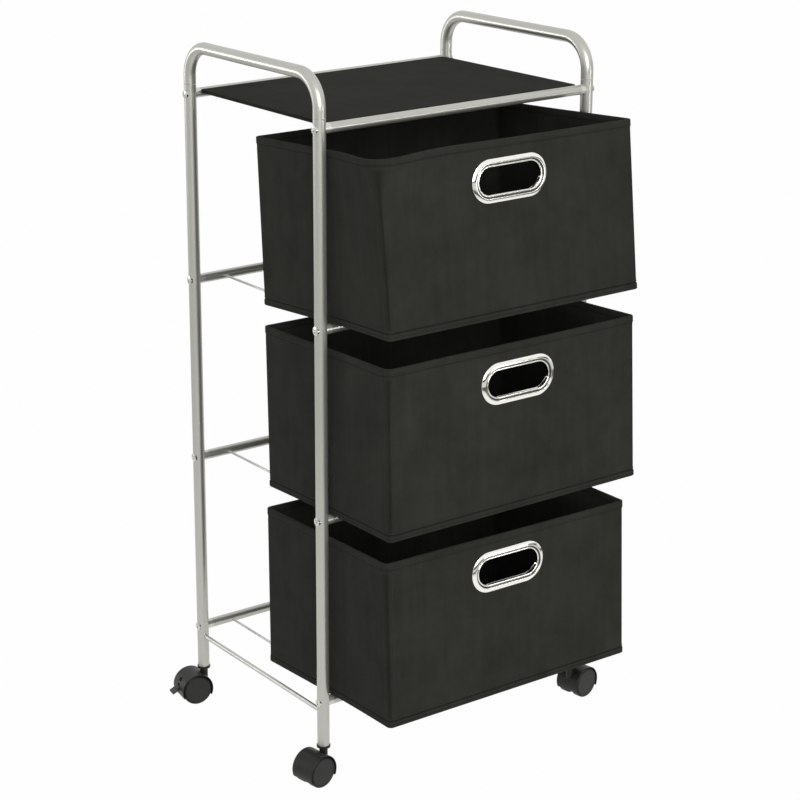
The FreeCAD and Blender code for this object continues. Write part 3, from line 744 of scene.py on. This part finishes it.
    def to_shelf(self, points):
        """Points from the bin's axes to the shelf's frame, with the cloth's own tilt about the front rail."""
        low, high = (np.array(v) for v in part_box(f"{self.name}_front_rail"))
        pivot = np.array([0, (low[1] + high[1]) / 2, high[2]])
        tilt = np.array(Matrix.Rotation(self.settle, 3, "X"))
        placed = (points.reshape(-1, 3) + self.middle) @ self.turn.T
        return (placed - pivot) @ tilt.T + pivot


def wall_heights(form):
    """Heights of the mesh rows up a wall, closer at the lip and the rim."""
    low = np.linspace(1.6 * MM, 11.6 * MM, 15)
    high = np.linspace(form.height - 24 * MM, form.height - RIM_ROUND, 31)
    middle = np.arange(low[-1], high[0], form.cloth.grid)[1:]
    return np.concatenate([low, middle, high])


def bin_section(form):
    """Rows of inset and height from under the floor, up the outside, over the rim and down to the floor.

    The rim is half an ellipse as wide as the wall with its binding. The first row and the number of rows of
    the outer and the inner face come with them.
    """
    c = form.cloth
    z = wall_heights(form)
    under = np.array([[40, 0.25], [4, 0.25], [1.2, 0.3], [0.2, 0.7]]) * MM
    outside = np.stack([-form.section_out(z), z], -1)
    phi = np.linspace(0, np.pi, 9)[1:-1]
    half = c.wall / 2 + c.binding_rise
    over = form.height - RIM_ROUND + RIM_ROUND * np.sin(phi)
    rim = np.stack([c.wall / 2 - half * np.cos(phi), over], -1)
    inner_z = z[z > c.floor + 1.5 * MM][::-1]
    inside = np.stack([c.wall + form.bound(inner_z), inner_z], -1)
    base = np.array([[0.3, 0.6], [1.5, 0.05], [37, 0.0]]) * MM + [c.wall, c.floor]
    rows = np.concatenate([under, outside, rim, inside, base])
    first_out = len(under)
    first_in = first_out + len(z) + len(rim)
    return rows, first_out, first_in, len(z), len(inner_z)


def bin_stations(form):
    """Stations of the mesh columns: even steps on the walls, closer ones in the corners."""
    steps_x = int(2 * form.half_x / form.cloth.grid)
    steps_y = int(2 * form.half_y / form.cloth.grid)
    return stations([steps_x, CORNER_STEPS, steps_y, CORNER_STEPS] * 2)


def in_slot(x, z, half_width, half_height):
    """True inside a slot with half-round ends about the origin."""
    past = np.maximum(np.abs(x) - (half_width - half_height), 0)
    return np.hypot(past, z) < half_height


def hole_edges(cut, columns, outer, inner):
    """Quads that join the outer and inner faces round a hole cut from whole cells.

    An edge between a kept cell and a cut one becomes a quad from the outer row's vertices to the inner ones.
    """
    rows, cols = np.nonzero(cut[:, 1:] != cut[:, :-1])
    side = cols + 1
    upright = np.stack([outer[rows] * columns + side, outer[rows + 1] * columns + side,
                        inner[rows + 1] * columns + side, inner[rows] * columns + side], -1)
    flip = cut[rows, cols + 1]
    upright[flip] = upright[flip][:, ::-1]
    rows, cols = np.nonzero(cut[1:] != cut[:-1])
    level = rows + 1
    flat = np.stack([outer[level] * columns + cols, inner[level] * columns + cols,
                     inner[level] * columns + cols + 1, outer[level] * columns + cols + 1], -1)
    flip = cut[rows + 1, cols]
    flat[flip] = flat[flip][:, ::-1]
    return np.concatenate([upright[:, ::-1], flat[:, ::-1]])


def bin_mesh(form):
    """Points, quads, cap faces, UV and painted seam shade of a bin's cloth: its section carried round the
    path.

    The hand hole's cells, up to the middle of the eyelet's flange, are taken out of the front wall's faces.
    """
    rows, first_out, first_in, out_count, in_count = bin_section(form)
    station = bin_stations(form)
    columns = len(station)
    points = form.point(station[None, :], rows[:, 1:2], rows[:, 0:1])
    quads = grid_quads(len(rows), columns)
    middle_x = (points[:-1, :, 0] + np.roll(points[:-1, :, 0], -1, 1)) / 2
    middle_z = (rows[:-1, 1] + rows[1:, 1])[:, None] / 2
    half_width, half_height = form.hole_half + form.flange / 2
    front = np.floor(station)[None, :] == 0
    cut = in_slot(middle_x - form.hole[0], middle_z - form.hole[2], half_width, half_height) & front
    outer_rows = np.arange(first_out + out_count - in_count, first_out + out_count)
    inner_rows = np.arange(first_in, first_in + in_count)[::-1]
    rims = hole_edges(cut[outer_rows[:-1]], columns, outer_rows, inner_rows)
    uv = grid_corners(form.along(np.append(station, 8)), section_run(rows))[~cut].reshape(-1, 2)
    lines = form.seam_line(station[None, :], rows[:, 1:2]).ravel()
    faces = np.concatenate([quads[~cut], rims])
    return points.reshape(-1, 3), faces, end_caps(len(rows), columns), uv, lines


def stitch_shape(length_, width):
    """Small thread bead along x: four rings of six, their radius rounded off towards the ends."""
    along = np.array([-0.5, -0.34, 0.34, 0.5]) * length_
    radius = np.array([0.45, 1.0, 1.0, 0.45]) * width / 2
    angle = np.arange(6) * np.pi / 3
    across = radius[:, None]
    ring = np.broadcast_arrays(along[:, None], across * np.cos(angle), across * np.sin(angle))
    return np.stack(ring, -1).reshape(-1, 3), grid_quads(4, 6).reshape(-1, 4), end_caps(4, 6)


def stitch_row(middle, along, out, cloth):
    """Points of a row of thread beads, each set along the seam and half sunk in the cloth."""
    shape = stitch_shape(cloth.stitch, cloth.thread_width)[0]
    along = along / np.linalg.norm(along, axis=-1, keepdims=True)
    out = out / np.linalg.norm(out, axis=-1, keepdims=True)
    axes = np.stack([along, np.cross(out, along), out], -2)
    return np.einsum("pk,nkc->npc", shape, axes) + middle[:, None]


def stitch_faces(count, cloth):
    """Quads and end caps of a number of thread beads."""
    shape, quads, caps = stitch_shape(cloth.stitch, cloth.thread_width)
    shift = np.arange(count)[:, None, None] * len(shape)
    caps = (np.array(caps)[None] + shift).reshape(-1, 6)
    return (quads[None] + shift).reshape(-1, 4), caps


def round_seam(form, height, lift):
    """Stitches round the bin at one height."""
    station = np.interp(np.arange(0, form.lengths[-1], form.cloth.stitch_pitch), form.lengths, np.arange(9))
    inset = -form.section_out(np.float64(height)) - lift
    place = form.point(station, height, inset)
    ahead = form.point(station + SEAM_STEP, height, inset) - place
    out = np.stack([ahead[:, 1], -ahead[:, 0], 0 * ahead[:, 0]], -1)
    return stitch_row(place, ahead, out, form.cloth)


def corner_seam(form, span, lift):
    """Stitches up one side of an upright corner, on the wall just beside the crease."""
    c = form.cloth
    foot, rim, beside = 16 * MM, 18 * MM, 2.4 * MM
    height = np.arange(foot, form.height - rim, c.stitch_pitch)
    wall_length = form.lengths[span + 1] - form.lengths[span]
    station = np.full(len(height), span + beside / wall_length)
    place = form.point(station, height, -lift)
    ahead = form.point(station, height + MM, -lift) - place
    side = form.point(station + SEAM_STEP, height, -lift) - place
    return stitch_row(place, ahead, np.cross(side, ahead), c)


def bin_stitches(form):
    """All the thread beads of a bin: the binding, the lip and the four corners."""
    c = form.cloth
    lift = c.thread_width * 0.22
    levels = form.height - c.binding + c.stitch_in, c.lip + 2.2 * MM
    seams = [round_seam(form, height, lift) for height in levels]
    seams += [corner_seam(form, span, lift) for span in (0, 2, 4, 6)]
    return np.concatenate(seams)


def lined_slab(half_x, half_y, radius, thickness, grid):
    """Points, quads, caps and UV of a flat board, its edge half an ellipse 1 mm deep, its foot at 0."""
    face = 12 * MM
    rows = np.concatenate([[[face, 0]], round_edge(MM, thickness, 9), [[face, thickness]]])
    return carried_round(rows, half_x, half_y, radius, grid)


class SHELF_OT_bins(bpy.types.Operator):
    """Sew the three cloth bins: walls with a bound rim, creased corners, a lip at the floor and stitching"""

    bl_idname = "shelf.bins"
    bl_label = "Sew Bins"

    def execute(self, context):
        cloth = context.scene.shelf_cloth
        fabric = cloth_material("Charcoal cloth", cloth.cloth, BIN_GLOSS)
        # The lining is the bins' cloth darkened to 0.8 as painted shade for the floor deep inside the bin
        shaded_lining = cloth_material("Board lining", [c * 0.8 for c in cloth.cloth], BIN_GLOSS)
        thread = thread_material("Charcoal thread", cloth.thread)
        for name in BINS:
            form = BinForm(context.scene, name)
            self.sew_shell(form, fabric)
            self.sew_stitches(form, thread)
            self.lay_board(form, shaded_lining)
        return {"FINISHED"}

    def sew_shell(self, form, fabric):
        """The cloth itself, in place of the bin's plain shell."""
        points, quads, caps, uv, lines = bin_mesh(form)
        piece = add_piece(f"{form.name}_bin_cloth", form.to_shelf(points), quads, caps, fabric,
                          f"{form.name}_bin")
        set_cloth_uv(piece, uv)
        # The seam attribute holds the painted shade of the creases along the seams
        piece.data.attributes.new("seam", "FLOAT", "POINT").data.foreach_set("value", lines)
        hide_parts(f"{form.name}_bin_shell")

    def sew_stitches(self, form, thread):
        """The thread of the binding, the lip and the corners."""
        beads = bin_stitches(form)
        quads, caps = stitch_faces(len(beads), form.cloth)
        add_piece(f"{form.name}_bin_stitches", form.to_shelf(beads), quads, caps, thread,
                  f"{form.name}_bin")

    def lay_board(self, form, shaded_lining):
        """The lined base board on the bin's floor, in place of the plain one, its lining darker as painted
        shade.
        """
        node = f"{form.name}_bin_base_board"
        half_x, half_y, thickness, foot = plan_of(*own_box(node, form.turn))
        slab = lined_slab(half_x, half_y, form.cloth.corner, thickness, form.cloth.grid * 2)
        points, quads, caps, uv = slab
        placed = form.to_shelf(points + (foot - form.middle))
        piece = add_piece(f"{form.name}_bin_lined_board", placed, quads, caps, shaded_lining, f"{form.name}_bin")
        set_cloth_uv(piece, uv)
        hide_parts(node)


# Eyelets

def eyelet_section(eyelet):
    """Closed section: outward distance from the hole and height over the cloth.

    The flange climbs from its rim to a ridge, 1 less the distance to the power 1.6. Past a groove a rolled
    bead, half an ellipse, runs round the hole. The barrel follows, with a turned lip, and the flat underside
    closes it.
    """
    t = np.linspace(1, 0, 15)
    climb = eyelet.edge + eyelet.rise * (1 - t ** 1.6)
    flange = np.stack([eyelet.ridge + (eyelet.band - eyelet.ridge) * t, climb], -1)
    top = eyelet.edge + eyelet.rise
    step = np.array([[eyelet.ridge - 0.3 * MM, top - 0.1 * MM], [eyelet.ridge - 0.5 * MM, top - 0.5 * MM],
                     [eyelet.ridge - 0.6 * MM, eyelet.groove], [eyelet.bead + 0.2 * MM, eyelet.groove]])
    turn = np.linspace(0, np.pi, 11)
    half = eyelet.bead / 2
    bead = np.stack([half + half * np.cos(turn), eyelet.groove + eyelet.bead_rise * np.sin(turn)], -1)
    b, d, under = eyelet.barrel, eyelet.depth, -0.05 * MM
    lip = [[b * 0.3, -d - b * 0.5], [b, -d - b * 0.2]]
    barrel = np.array([[0, 0], [0, -d * 0.5], [0, -d], *lip, [b, under]])
    foot = np.array([[eyelet.band * 0.5, under], [eyelet.band - 0.3 * MM, under],
                     [eyelet.band - 0.05 * MM, eyelet.edge * 0.4]])
    return np.concatenate([flange, step, bead, barrel, foot])


def washer_section(inner, width, thickness):
    """Closed section of a flat ring with eased edges: outward distance from the hole and height."""
    ease = 0.2 * MM
    hole_side = [[ease, 0], [0, ease], [0, thickness - ease], [ease, thickness]]
    rim_side = [[width - ease, thickness], [width, thickness - ease], [width, ease], [width - ease, 0]]
    square = np.array(hole_side + rim_side)
    return square + [inner, 0]


def ring_mesh(section, half_width, half_height):
    """Ring about a hole's middle, facing -Y: a closed section carried round a slot-shaped path."""
    station = stations([24, 18, 0, 18, 24, 18, 0, 18])
    out = section[:, 0:1]
    x, z = rounded_path(station[None, :], half_width + out, half_height + out, half_height + out)[:2]
    points = np.stack([x, np.broadcast_to(-section[:, 1:2], x.shape), z], -1)
    ring = np.concatenate([points, points[:1]])
    quads = grid_quads(len(ring), len(station)).reshape(-1, 4) % (len(section) * len(station))
    points = points.reshape(-1, 3)
    return points, facing_out(points, quads)


class SHELF_OT_eyelets(bpy.types.Operator):
    """Set a beaded plated eyelet in each bin's hand hole and a washer behind it"""

    bl_idname = "shelf.eyelets"
    bl_label = "Set Eyelets"

    def execute(self, context):
        eyelet = context.scene.shelf_eyelet
        chrome = chrome_material("Bright plating", eyelet.plating)
        for name in BINS:
            form = BinForm(context.scene, name)
            place = np.array([form.hole[0], -form.half_y, form.hole[2]])
            self.set_ring(form, "eyelet", eyelet_section(eyelet), place, chrome)
            low, high = own_box(f"{name}_bin_eyelet_washer", form.turn)
            width = (high[0] - low[0]) / 2 - form.hole_half[0] - eyelet.barrel
            section = washer_section(eyelet.barrel, width, high[1] - low[1])
            place[1] = high[1] - form.middle[1]
            self.set_ring(form, "eyelet_washer", section, place, chrome)
        return {"FINISHED"}

    def set_ring(self, form, node, section, place, chrome):
        """A ring in the hand hole, in place of a plain one."""
        points, quads = ring_mesh(section, *form.hole_half)
        piece = add_piece(f"{form.name}_bin_{node}_ring", form.to_shelf(points + place), quads, [], chrome,
                          f"{form.name}_bin")
        eyelet = bpy.context.scene.shelf_eyelet
        # Points in the groove between the bead and the ridge get painted shade through the groove attribute
        out = section[:, 0]
        inside = (out > eyelet.bead) & (out < eyelet.ridge - 0.4 * MM) & (section[:, 1] > eyelet.edge)
        groove_shade = np.repeat(inside * 1.0, len(points) // len(section))
        piece.data.attributes.new("groove", "FLOAT", "POINT").data.foreach_set("value", groove_shade)
        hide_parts(f"{form.name}_bin_{node}")


# Top panel

def panel_section(cloth, thickness):
    """Rows of inset and height of the wrapped cover: over the board, under the hem, round the edge, on top.

    The outer edge is half an ellipse, half the thickness high and 1.6 mm deep.
    """
    skin, hem, ease = cloth.panel_skin, cloth.panel_hem, 0.2 * MM
    inside = np.array([[skin, thickness - skin], [skin, skin], [hem, skin], [hem - ease, ease]])
    top = np.array([[4, 0], [12, 0], [40, 0]]) * MM + [0, thickness]
    return np.concatenate([inside, [[hem / 2, 0]], round_edge(1.6 * MM, thickness, 11), top])


class SHELF_OT_top_panel(bpy.types.Operator):
    """Wrap the top panel's board in cloth with a stitched hem underneath"""

    bl_idname = "shelf.top_panel"
    bl_label = "Cover Top Panel"

    def execute(self, context):
        cloth = context.scene.shelf_cloth
        low, high = (np.array(v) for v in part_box("top_panel_cover"))
        half_x, half_y, thickness, foot = plan_of(low, high)
        rows = panel_section(cloth, thickness)
        points, quads, caps, uv = carried_round(rows, half_x, half_y, cloth.panel_corner, cloth.grid)
        # The cover's colour is the bins' cloth darkened as painted shade for its upturned top
        fabric = cloth_material("Panel cloth", cloth.cover, COVER_GLOSS)
        piece = add_piece("top_panel_cloth", points + foot, quads, caps, fabric, "frame")
        set_cloth_uv(piece, uv)
        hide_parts("top_panel_cover")
        hem = self.sew_hem(cloth, half_x, half_y, foot)
        paint_nodes(board_material("Hardboard", context.scene.shelf_finish.board), "top_panel_board")
        return {"FINISHED"}

    def sew_hem(self, cloth, half_x, half_y, foot):
        """Stitches under the panel, 4 mm in from the hem's edge."""
        inset = cloth.panel_hem - 4 * MM
        reach = path_lengths(half_x - inset, half_y - inset, MM)
        station = np.interp(np.arange(0, reach[-1], cloth.stitch_pitch), reach, np.arange(9))
        x, y, out_x, out_y = rounded_path(station, half_x - inset, half_y - inset, MM)
        zero = np.zeros_like(x)
        down = np.stack([zero, zero, zero - 1], -1)
        beads = stitch_row(np.stack([x, y, zero], -1), np.stack([-out_y, out_x, zero], -1), down, cloth)
        quads, caps = stitch_faces(len(beads), cloth)
        thread = thread_material("Panel thread", cloth.thread)
        return add_piece("top_panel_stitches", beads.reshape(-1, 3) + foot, quads, caps, thread, "frame")


# Rigid finishes

class SHELF_OT_frame_finish(bpy.types.Operator):
    """Paint the tubes and plate the wires, rods and fastenings"""

    bl_idname = "shelf.frame_finish"
    bl_label = "Finish Frame"

    def execute(self, context):
        finish = context.scene.shelf_finish
        paint_nodes(paint_material("Silver paint", finish.paint), "_leg", "_hoop", "_rail")
        paint_nodes(paint_material("Saddle paint", finish.saddle), "rail_saddles")
        paint_nodes(steel_material("Zinc wire", finish.wire, 0.46), "shelf_wires", "_side_rod")
        bright = steel_material("Bright zinc", finish.steel, 0.22)
        paint_nodes(bright, "rail_screws", "rail_inserts", "_stem", "_axle")
        return {"FINISHED"}


class SHELF_OT_castor_finish(bpy.types.Operator):
    """Give the castors their moulded plastic"""

    bl_idname = "shelf.castor_finish"
    bl_label = "Finish Castors"

    def execute(self, context):
        finish = context.scene.shelf_finish
        paint_nodes(plastic_material("Black nylon", finish.hood, 0.36, 0.04 * MM), "_hood", "castor_sockets")
        for joint in frame["record"]["behaviour"]["joints"]:
            if joint["name"].endswith("_wheel_spin"):
                words = joint["child"].replace("_castor", "").replace("_", " ")
                wheel = wheel_material(f"Nylon of {words}", finish.wheel, joint["pos_m"], joint["axis"])
                paint_nodes(wheel, joint["child"])
        paint_nodes(plastic_material("Pedal nylon", finish.pedal, 0.42, 0.05 * MM), "_brake_pedal")
        return {"FINISHED"}


# Stage

WHITE = (1, 1, 1, 1)
# Share of plain white in the floor that the camera sees, the rest of which keeps the shadow
SHOWN_WHITE = 0.985
Lamp = namedtuple("Lamp", "setting place target size")
LAMPS = (
    Lamp("key", (-1.3, -3.1, 1.9), (0, 0, 0.45), 2.2),
    Lamp("low", (1.5, -2.7, 0.6), (0, 0, 0.6), 0.6),
    Lamp("rear", (-2.0, 2.4, 0.75), (0, 0, 0.9), 0.5),
)


def facing(tree, direction, bearing):
    """Cosine between a direction and a level bearing, in degrees from +X."""
    angle = math.radians(bearing)
    unit = vector_calc(tree, "NORMALIZE", direction)
    return vector_calc(tree, "DOT_PRODUCT", unit, (math.cos(angle), math.sin(angle), 0))


def mirror_floor(tree, place, far_level, dark_level):
    """Level of the floor in mirrors: white near the shelf, lower further out, darkest to the front right.

    The dark side is where the cosine to its bearing is near 1, between about 1.5 and 2.3 m out.
    """
    reach = vector_calc(tree, "LENGTH", place)
    far = eased(tree, reach, 0.9, 1.5, 1.0, far_level)
    ring = calc(tree, "MULTIPLY", eased(tree, reach, 1.35, 1.6, 0, 1), eased(tree, reach, 2.1, 2.5, 1, 0))
    dark = calc(tree, "MULTIPLY", eased(tree, facing(tree, place, -60), 0.30, 0.70, 0, 1), ring)
    return spread(tree, dark, far, dark_level)


def floor_material(stage):
    """Pale floor that shows white to the camera, with a faint shadow, and a studio's floor to mirrors."""
    material, tree, shader, place = new_material("Pale floor")
    feed(tree, shader, {"Base Color": rgba(stage.floor), "Roughness": 0.9})
    rays = add_node(tree, "LightPath").outputs
    mirrored = mirror_floor(tree, place, stage.far_floor, stage.dark_floor)
    level = spread(tree, rays["Is Camera Ray"], mirrored, 1.0)
    white = add_node(tree, "Emission", {"Color": WHITE, "Strength": level})
    seen = calc(tree, "MAXIMUM", rays["Is Camera Ray"], rays["Is Glossy Ray"])
    seen = calc(tree, "MAXIMUM", seen, rays["Is Transmission Ray"])
    share = calc(tree, "MULTIPLY", seen, SHOWN_WHITE)
    mix = add_node(tree, "MixShader", {0: share, 1: shader.outputs["BSDF"], 2: white.outputs["Emission"]})
    feed(tree, tree.nodes["Material Output"], {"Surface": mix.outputs["Shader"]})
    return material


def mirror_room(tree, dark_level):
    """Level of the room in mirrors: white, apart from a dark low band ahead of the shelf's front."""
    direction = add_node(tree, "TexCoord").outputs["Generated"]
    split = add_node(tree, "SeparateXYZ", {0: direction})
    low = eased(tree, split.outputs["Z"], 0.10, 0.22, 1, 0)
    dark = calc(tree, "MULTIPLY", eased(tree, facing(tree, direction, -80), 0.40, 0.70, 0, 1), low)
    return spread(tree, dark, 1.0, dark_level)


def white_world(strength, dark_level):
    """Even light all round: white to the camera, and to mirrors a white room with a dark side."""
    world = bpy.data.worlds.new("Studio")
    world.use_nodes = True
    tree = world.node_tree
    rays = add_node(tree, "LightPath").outputs
    mirror = calc(tree, "MAXIMUM", rays["Is Glossy Ray"], rays["Is Transmission Ray"])
    unseen = spread(tree, mirror, strength, mirror_room(tree, dark_level))
    level = spread(tree, rays["Is Camera Ray"], unseen, 1.0)
    feed(tree, tree.nodes["Background"], {"Color": WHITE, "Strength": level})
    return world


def add_lamp(lamp, power):
    """Square soft lamp at its place, turned to its target."""
    light = bpy.data.lights.new(f"{lamp.setting} lamp", "AREA")
    light.shape = "SQUARE"
    light.size = lamp.size
    light.energy = power
    holder = bpy.data.objects.new(light.name, light)
    holder.location = lamp.place
    holder.rotation_euler = (Vector(lamp.target) - Vector(lamp.place)).to_track_quat("-Z", "Y").to_euler()
    holder.visible_camera = False
    bpy.context.scene.collection.objects.link(holder)


def add_camera(stage):
    """Camera at the eye: its axes are the picture's right, the cross product with the view, and backwards."""
    lens = bpy.data.cameras.new("camera")
    lens.sensor_width = 36.0
    lens.lens = stage.lens
    lens.shift_x, lens.shift_y = stage.shift
    camera = bpy.data.objects.new("camera", lens)
    look, right = Vector(stage.look).normalized(), Vector(stage.right).normalized()
    axes = Matrix((right, right.cross(look), -look)).transposed()
    camera.matrix_world = Matrix.Translation(stage.eye) @ axes.to_4x4()
    bpy.context.scene.collection.objects.link(camera)
    bpy.context.scene.camera = camera


class SHELF_OT_stage(bpy.types.Operator):
    """Set the floor, the soft studio light and the camera"""

    bl_idname = "shelf.stage"
    bl_label = "Set Stage"

    def execute(self, context):
        stage = context.scene.shelf_stage
        half = stage.floor_reach
        corners = [(-half, -half, 0), (half, -half, 0), (half, half, 0), (-half, half, 0)]
        mesh = bpy.data.meshes.new("floor")
        mesh.from_pydata(corners, [], [(0, 1, 2, 3)])
        mesh.materials.append(floor_material(stage))
        floor = bpy.data.objects.new("floor", mesh)
        context.scene.collection.objects.link(floor)
        context.scene.world = white_world(stage.sky, stage.dark_room)
        for lamp in LAMPS:
            add_lamp(lamp, getattr(stage, lamp.setting))
        add_camera(stage)
        context.scene.view_settings.view_transform = "Standard"
        return {"FINISHED"}


class SHELF_PT_panel(bpy.types.Panel):
    """The shelf's steps in the sidebar"""

    bl_idname = "SHELF_PT_panel"
    bl_label = "Rolling Storage Shelf"
    bl_space_type = "VIEW_3D"
    bl_region_type = "UI"
    bl_category = "Shelf"

    def draw(self, context):
        for step in STEPS:
            self.layout.operator(step.bl_idname)
        for group in SETTINGS:
            values = getattr(context.scene, group)
            for key in values.__annotations__:
                self.layout.prop(values, key)


SETTINGS = {
    "shelf_cloth": ShelfClothSettings,
    "shelf_eyelet": ShelfEyeletSettings,
    "shelf_finish": ShelfFinishSettings,
    "shelf_stage": ShelfStageSettings,
}
STEPS = (
    SHELF_OT_frame_finish,
    SHELF_OT_castor_finish,
    SHELF_OT_bins,
    SHELF_OT_eyelets,
    SHELF_OT_top_panel,
    SHELF_OT_stage,
)


def register():
    for group, settings in SETTINGS.items():
        bpy.utils.register_class(settings)
        setattr(bpy.types.Scene, group, bpy.props.PointerProperty(type=settings))
    for step in STEPS:
        bpy.utils.register_class(step)
    bpy.utils.register_class(SHELF_PT_panel)


def unregister():
    bpy.utils.unregister_class(SHELF_PT_panel)
    for step in reversed(STEPS):
        bpy.utils.unregister_class(step)
    for group, settings in SETTINGS.items():
        delattr(bpy.types.Scene, group)
        bpy.utils.unregister_class(settings)


def main():
    """Dress the shelf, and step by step."""
    register()
    bpy.ops.shelf.frame_finish()
    bpy.ops.shelf.castor_finish()
    bpy.ops.shelf.bins()
    bpy.ops.shelf.eyelets()
    bpy.ops.shelf.top_panel()
    bpy.ops.shelf.stage()


if __name__ == "__main__":
    main()
